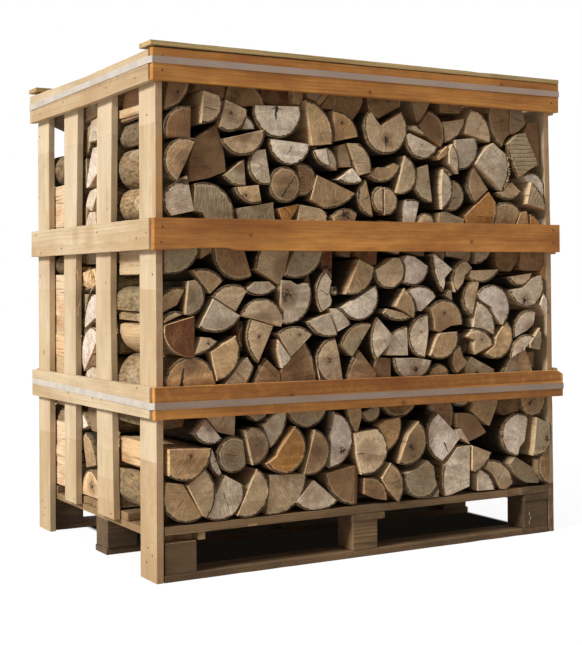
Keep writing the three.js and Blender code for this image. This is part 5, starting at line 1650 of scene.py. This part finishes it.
# how strongly each kind of wood shows its figure, how dirty it is and how rough it is
cleanWear = {
    "rings": 0.26,
    "fibre": 0.2,
    "saw": 0.04,
    "streak": 0.05,
    "dirt": 0.35,
    "dirtColour": (134, 112, 84),
    "bump": 0.3,
}
frontWear = {
    "rings": 0.26,
    "fibre": 0.3,
    "saw": 0.1,
    "streak": 0.12,
    "dirt": 0.45,
    "dirtColour": (118, 72, 34),
    "bump": 0.3,
}
palletWear = {
    "rings": 0.6,
    "fibre": 0.34,
    "saw": 0.2,
    "streak": 0.14,
    "dirt": 0.75,
    "dirtColour": (58, 44, 30),
    "bump": 0.9,
}
weatheredWear = palletWear | {"dirt": 0.5, "dirtColour": (96, 80, 52), "bump": 0.6}


def sawnWood(name, colours, wear, groups, knots=(), bands=(), rings=(), stains=()):
    material, tree, surface = newMaterial(name, roughness=0.72)
    here = objectPlace(tree)
    place = attribute(tree, "boardPlace")["Vector"]
    grain = use(groups["grain"], {"Place": place, **woodGrain})
    colour = blend(ramp(grain["Cloud"], 0.3, 0.72), colours["light"], colours["dark"])
    colour = blend(times(grain["Rings"], wear["rings"]), colour, colours["late"])
    figure = (("Fibre", "fibre"), ("Saw", "saw"), ("Streak", "streak"))
    light = times(*[scaled(grain[out], 1 - wear[key], 1 + wear[key]) for out, key in figure])
    colour = tinted(colour, light)
    for x, y, z, radius in knots:
        values = {"Place": here, "Centre": at(x, y, z), "Radius": radius / 1000}
        knot = use(groups["knot"], values)
        colour = blend(times(knot["Halo"], markLook["halo"]), colour, colours["late"])
        colour = blend(times(knot["Heart"], markLook["heart"]), colour, colours["knot"])
    height = split(here)[2]
    edge = markLook["bandEdge"]
    for bottom, top, strength in bands:
        rise, fall = ramp(height, bottom, bottom + edge), ramp(height, top - edge, top, 1, 0)
        colour = blend(times(rise, fall, strength), colour, bandColour)
    shake = markLook["ringShake"]
    uneven = scaled(noiseOf(here, 60, 3), -shake, shake)
    for x, y, z, radius in rings:
        radius /= 1000
        reach = plus(vector("DISTANCE", here, at(x, y, z)), uneven)
        fromEdge = calc("ABSOLUTE", minus(reach, radius))
        outline = ramp(fromEdge, 0.0, markLook["ringWidth"], markLook["ring"], 0.0)
        inside = ramp(reach, radius / 2.5, radius / 0.9, markLook["inside"], 0.0)
        for mask in (outline, inside):
            colour = blend(mask, colour, colours["late"])
    cloud = ramp(noiseOf(here, 45, 4, 0.65), 0.3, 0.55, 0.6, 1.0)
    # stains, and the painted shade and light that the lists give
    for low, high, stain, strength in stains:
        mask = boxMask(here, at(*low), at(*high), markLook["stainEdge"])
        colour = blend(times(mask, strength, cloud), colour, paint(*stain))
    dirt = ramp(noiseOf(here, 7, 6, 0.7), 0.52, 0.78, 0.0, wear["dirt"])
    link(blend(dirt, colour, paint(*wear["dirtColour"])), surface.inputs["Base Color"])
    bump(surface, grain["Height"], wear["bump"], 0.001)
    return material


def boardMaterials(groups):
    side = (sidePaint, cleanWear, groups, sideKnots)
    front = (frontPaint, frontWear, groups, frontKnots)
    pallet = (palletPaint, palletWear, groups)
    return {
        "side": sawnWood("sideWood", *side, bands=sideBands, stains=sideStainsAndShade),
        "rail": sawnWood("sideRailWood", *side, rings=sideRings, stains=railStainsAndShadow),
        "front": sawnWood("frontWood", *front, stains=frontStainsAndShadow),
        "pallet": sawnWood("palletWood", *pallet, stains=palletStainsAndLight),
        "weathered": sawnWood("weatheredWood", weatheredPaint, weatheredWear, groups),
    }


# The straps keep their CAD shape and get an embossed plastic finish

strapPaint = paints({
    "plastic": (190, 183, 174),
    "shade": (178, 169, 159),
    "upperFront": (164, 143, 131),
    "lowerFront": (144, 123, 109),
})
strapLook = {
    "waffle": 1800.0,
    "light": 0.97,  # how light the waffle's low places are, a painted shade in its hollows
    "bump": 0.0003,
    # the thin plastic lets the brown rails show through, the lower strap's the most: over these
    # heights and outside the front and back faces
    "seeThrough": {"upperFront": (800, 1300), "lowerFront": (300, 800)},
    "amount": 0.85,
    "edge": 0.0004,
    "front": (-30, -17.5),
    "back": (832.6, 850),
    "sides": (-40, 1240),
}


def strapFinish():
    material, tree, surface = newMaterial("strapPlastic", roughness=0.42)
    place = objectPlace(tree)
    x, y, z = split(place)
    along = plus(x, y)
    waves = [times(turn, strapLook["waffle"]) for turn in (plus(along, z), minus(along, z))]
    waffle = times(*[calc("SINE", wave) for wave in waves])
    cloud = ramp(noiseOf(place, 22, 3), 0.35, 0.7)
    colour = blend(cloud, strapPaint["plastic"], strapPaint["shade"])
    left, right = strapLook["sides"]
    for name, (bottom, top) in strapLook["seeThrough"].items():
        front, back = [
            boxMask(place, at(left, near, bottom), at(right, far, top), strapLook["edge"])
            for near, far in (strapLook["front"], strapLook["back"])
        ]
        overBrown = times(calc("MAXIMUM", front, back), strapLook["amount"])
        colour = blend(overBrown, colour, strapPaint[name])
    colour = tinted(colour, ramp(noiseOf(place, 9, 3), 0.35, 0.65, 0.94, 1.05))
    # painted shade in the waffle's hollows
    colour = tinted(colour, scaled(waffle, strapLook["light"], 1.0))
    link(colour, surface.inputs["Base Color"])
    bump(surface, waffle, 0.4, strapLook["bump"])
    surface.inputs["Specular IOR Level"].default_value = 0.6
    return material


# Nails and splinters: a Geometry Nodes tree sets a cone at each point, turned to the point's aim.
# A nail's is low and blunt, a splinter's long and thin.

nailLook = {
    "radius": 2.7,
    "rise": 0.7,
    "tip": 0.7,  # the tip's radius as a share of the base's
    "sides": 12,
    "sunk": 0.2,  # how far inside a face the base stands, with more on the leaning right side
    "sunkRight": 0.3,
    "railBottoms": (376, 770, 1151),
    "frontRails": [
        (10, 1214), (10, 1181), (1185, 1187), (1186, 1216), (9, 823), (6, 787), (1190, 836),
        (1190, 802), (1188, 396),
    ],
    "sideRails": [
        (76, 1174), (255, 1176), (300, 1190), (560, 1179), (745, 1170), (790, 1196), (15, 808),
        (72, 798), (320, 822), (575, 788), (745, 780), (785, 830), (70, 448), (295, 403),
        (352, 403), (530, 404), (770, 425),
    ],
    "uprights": [
        (27, 62), (52, 76), (59, 41), (48, 1085), (20, 713), (763, 62), (787, 78), (782, 38),
        (800, 1113), (800, 940), (800, 715), (278, 120), (305, 695), (535, 120),
    ],
}


def nailPlaces():
    # places on the outer faces, the direction that each nail's head faces and its size
    places = []
    sunk = nailLook["sunk"]
    frontFace = -crate["board"] + sunk
    backFace = crate["depth"] + crate["board"] + sunk / 2
    for x, z in nailLook["frontRails"]:
        places.append((at(x, frontFace, z), (0, -1, 0), 1.0))
        places.append((at(crate["width"] - x, backFace, z), (0, 1, 0), 1.0))
    for y, z in nailLook["sideRails"]:
        places.append((at(-crate["board"] + sunk, y, z), (-1, 0, 0), 1.0))
        railFrom = max(bottom for bottom in nailLook["railBottoms"] if bottom < z + 10)
        outer = rightFace(railFrom) + crate["board"] - sunk
        places.append((at(outer, y, z), (1, 0, 0), 1.0))
    for y, z in nailLook["uprights"]:
        places.append((at(sunk, y, z), (-1, 0, 0), 1.0))
        places.append((at(rightFace(z) - nailLook["sunkRight"], y, z), (1, 0, 0), 1.0))
    return places


splinterLook = {
    "radius": 0.9,
    "rise": 10,
    "tip": 0.12,
    "sides": 5,
    "spread": 1.5,
    "aimSpread": 0.45,
    "sizes": (0.5, 1.2),
    "seed": 8,
    # between two places, the way that they point, how many and their size
    "tufts": [
        ((1043, -3, 1064), (1082, -4, 980), (-1.0, -0.5, -0.1), 46, 0.7),
        ((1027, -4, 945), (1045, -4, 990), (1.0, -0.4, -0.1), 24, 0.6),
        ((1045, -4, 990), (1037, -4, 1037), (1.0, -0.4, 0.1), 24, 0.6),
        ((19, 462, 735), (19, 424, 700), (-0.25, -0.35, -1.0), 26, 3.2),
        ((19, 500, 700), (19, 436, 684), (-0.3, 0.3, -1.0), 22, 1.8),
        ((17, 265, 326), (17, 264, 290), (-0.3, -1.0, -0.4), 20, 1.1),
        ((17, 275, 576), (17, 275, 560), (-0.3, -1.0, 0.6), 6, 1.6),
        ((4, 519, 746), (4, 519, 722), (-0.3, -0.5, -1.0), 5, 3.8),
        ((4, 508, 622), (4, 507, 606), (-0.2, -0.5, 0.9), 4, 2.8),
    ],
}


def splinterPlaces():
    chance = random.Random(splinterLook["seed"])
    places = []

    def shaken(values, spread):
        return Vector([value + chance.uniform(-spread, spread) for value in values])

    for start, end, aim, count, size in splinterLook["tufts"]:
        for _ in range(count):
            place = Vector(start).lerp(Vector(end), chance.random())
            place = at(*shaken(place, splinterLook["spread"]))
            towards = shaken(aim, splinterLook["aimSpread"]).normalized()
            places.append((place, towards, size * chance.uniform(*splinterLook["sizes"])))
    return places


def coneTree(name, look, material):
    tree = bpy.data.node_groups.new(name, "GeometryNodeTree")
    values = {}
    tree.interface.new_socket("Geometry", in_out="INPUT", socket_type="NodeSocketGeometry")
    sizes = (
        ("Base Radius", "Float", look["radius"] / 1000),
        ("Rise", "Float", look["rise"] / 1000),
        ("Tip", "Float", look["tip"]),
        ("Sides", "Int", look["sides"]),
    )
    for label, kind, value in sizes:
        socket = tree.interface.new_socket(label, in_out="INPUT", socket_type="NodeSocket" + kind)
        socket.default_value = value
        values[socket.identifier] = value
    tree.interface.new_socket("Geometry", in_out="OUTPUT", socket_type="NodeSocketGeometry")
    given = add(tree, "NodeGroupInput").outputs

    def pointValue(label, kind):
        reader = "GeometryNodeInputNamedAttribute"
        return add(tree, reader, {"Name": label}, data_type=kind).outputs["Attribute"]

    settings = {
        "Vertices": given["Sides"],
        "Side Segments": 3,
        "Fill Segments": 2,
        "Radius Top": times(given["Base Radius"], given["Tip"]),
        "Radius Bottom": given["Base Radius"],
        "Depth": given["Rise"],
    }
    cone = add(tree, "GeometryNodeMeshCone", settings, fill_type="TRIANGLE_FAN")
    aim = {"Vector": pointValue("aim", "FLOAT_VECTOR")}
    settings = {
        "Points": given["Geometry"],
        "Instance": cone.outputs["Mesh"],
        "Rotation": add(tree, "FunctionNodeAlignRotationToVector", aim, axis="Z"),
        "Scale": joined(1.0, 1.0, pointValue("size", "FLOAT")),
    }
    cones = add(tree, "GeometryNodeInstanceOnPoints", settings)
    real = add(tree, "GeometryNodeRealizeInstances", {"Geometry": cones})
    painted = add(tree, "GeometryNodeSetMaterial", {"Geometry": real, "Material": material})
    link(painted, add(tree, "NodeGroupOutput").inputs["Geometry"])
    return tree, values


def makeCones(name, look, places, material):
    mesh = bpy.data.meshes.new(name + "Points")
    mesh.from_pydata([place for place, aim, size in places], [], [])
    aims = mesh.attributes.new("aim", "FLOAT_VECTOR", "POINT")
    aims.data.foreach_set("vector", [value for place, aim, size in places for value in aim])
    sizes = mesh.attributes.new("size", "FLOAT", "POINT")
    sizes.data.foreach_set("value", [size for place, aim, size in places])
    points = linked(name + "Points", mesh)
    modifier = points.modifiers.new(name + "Cones", "NODES")
    modifier.node_group, values = coneTree(name + "Cones", look, material)
    for identifier, value in values.items():
        modifier[identifier] = value
    evaluated = points.evaluated_get(bpy.context.evaluated_depsgraph_get())
    cones = linked(name, bpy.data.meshes.new_from_object(evaluated))
    bpy.data.objects.remove(points)
    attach(cones, "root")


smallPaint = paints({
    "freshWood": (226, 200, 156),
    "dullWood": (172, 136, 92),
    "steel": (96, 80, 66),
    "rust": (112, 72, 44),
})


def splinterWood():
    material, tree, surface = newMaterial("splinterWood", roughness=0.8)
    shade = ramp(noiseOf(objectPlace(tree), 70, 4, 0.7), 0.35, 0.65)
    colour = blend(shade, smallPaint["freshWood"], smallPaint["dullWood"])
    link(colour, surface.inputs["Base Color"])
    return material


def nailSteel():
    material, tree, surface = newMaterial("rustyNail", roughness=0.6)
    surface.inputs["Metallic"].default_value = 0.6
    rust = ramp(noiseOf(objectPlace(tree), 160, 4, 0.7), 0.4, 0.65)
    link(blend(rust, smallPaint["steel"], smallPaint["rust"]), surface.inputs["Base Color"])
    link(scaled(rust, 0.45, 0.85), surface.inputs["Roughness"])
    return material


# Making it all

makeCamera()
makeLight("key")
makeLight("overhead")
makeSky()
makeFloor()
bpy.context.scene.view_settings.view_transform = "Standard"
print("camera, light and floor")

groups = {"crack": crackGroup(), "knot": knotGroup(), "grain": grainGroup()}
logMaterials = [endGrain(groups), splitFace(), barkLook()]
ranks = [
    (frontRank(), "firewood_front_rank"),
    (middleRank(), "firewood_middle_rank"),
    (backRank(), "firewood_back_rank"),
]
for pile, nodeName in ranks:
    rank = pile.finished(logMaterials)
    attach(rank, "root")
    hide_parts(nodeName)
    triangles = sum(len(face) - 2 for face in pile.faces)
    print("rank", pile.name, triangles, "triangles")

boards = makeBoards(boardMaterials(groups))
print("boards", boards)

strapMaterial = strapFinish()
for nodeName in ("strap_upper", "strap_lower"):
    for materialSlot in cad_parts[nodeName].material_slots:
        materialSlot.material = strapMaterial
print("straps")

makeCones("nails", nailLook, nailPlaces(), nailSteel())
makeCones("splinters", splinterLook, splinterPlaces(), splinterWood())
print("nails and splinters")
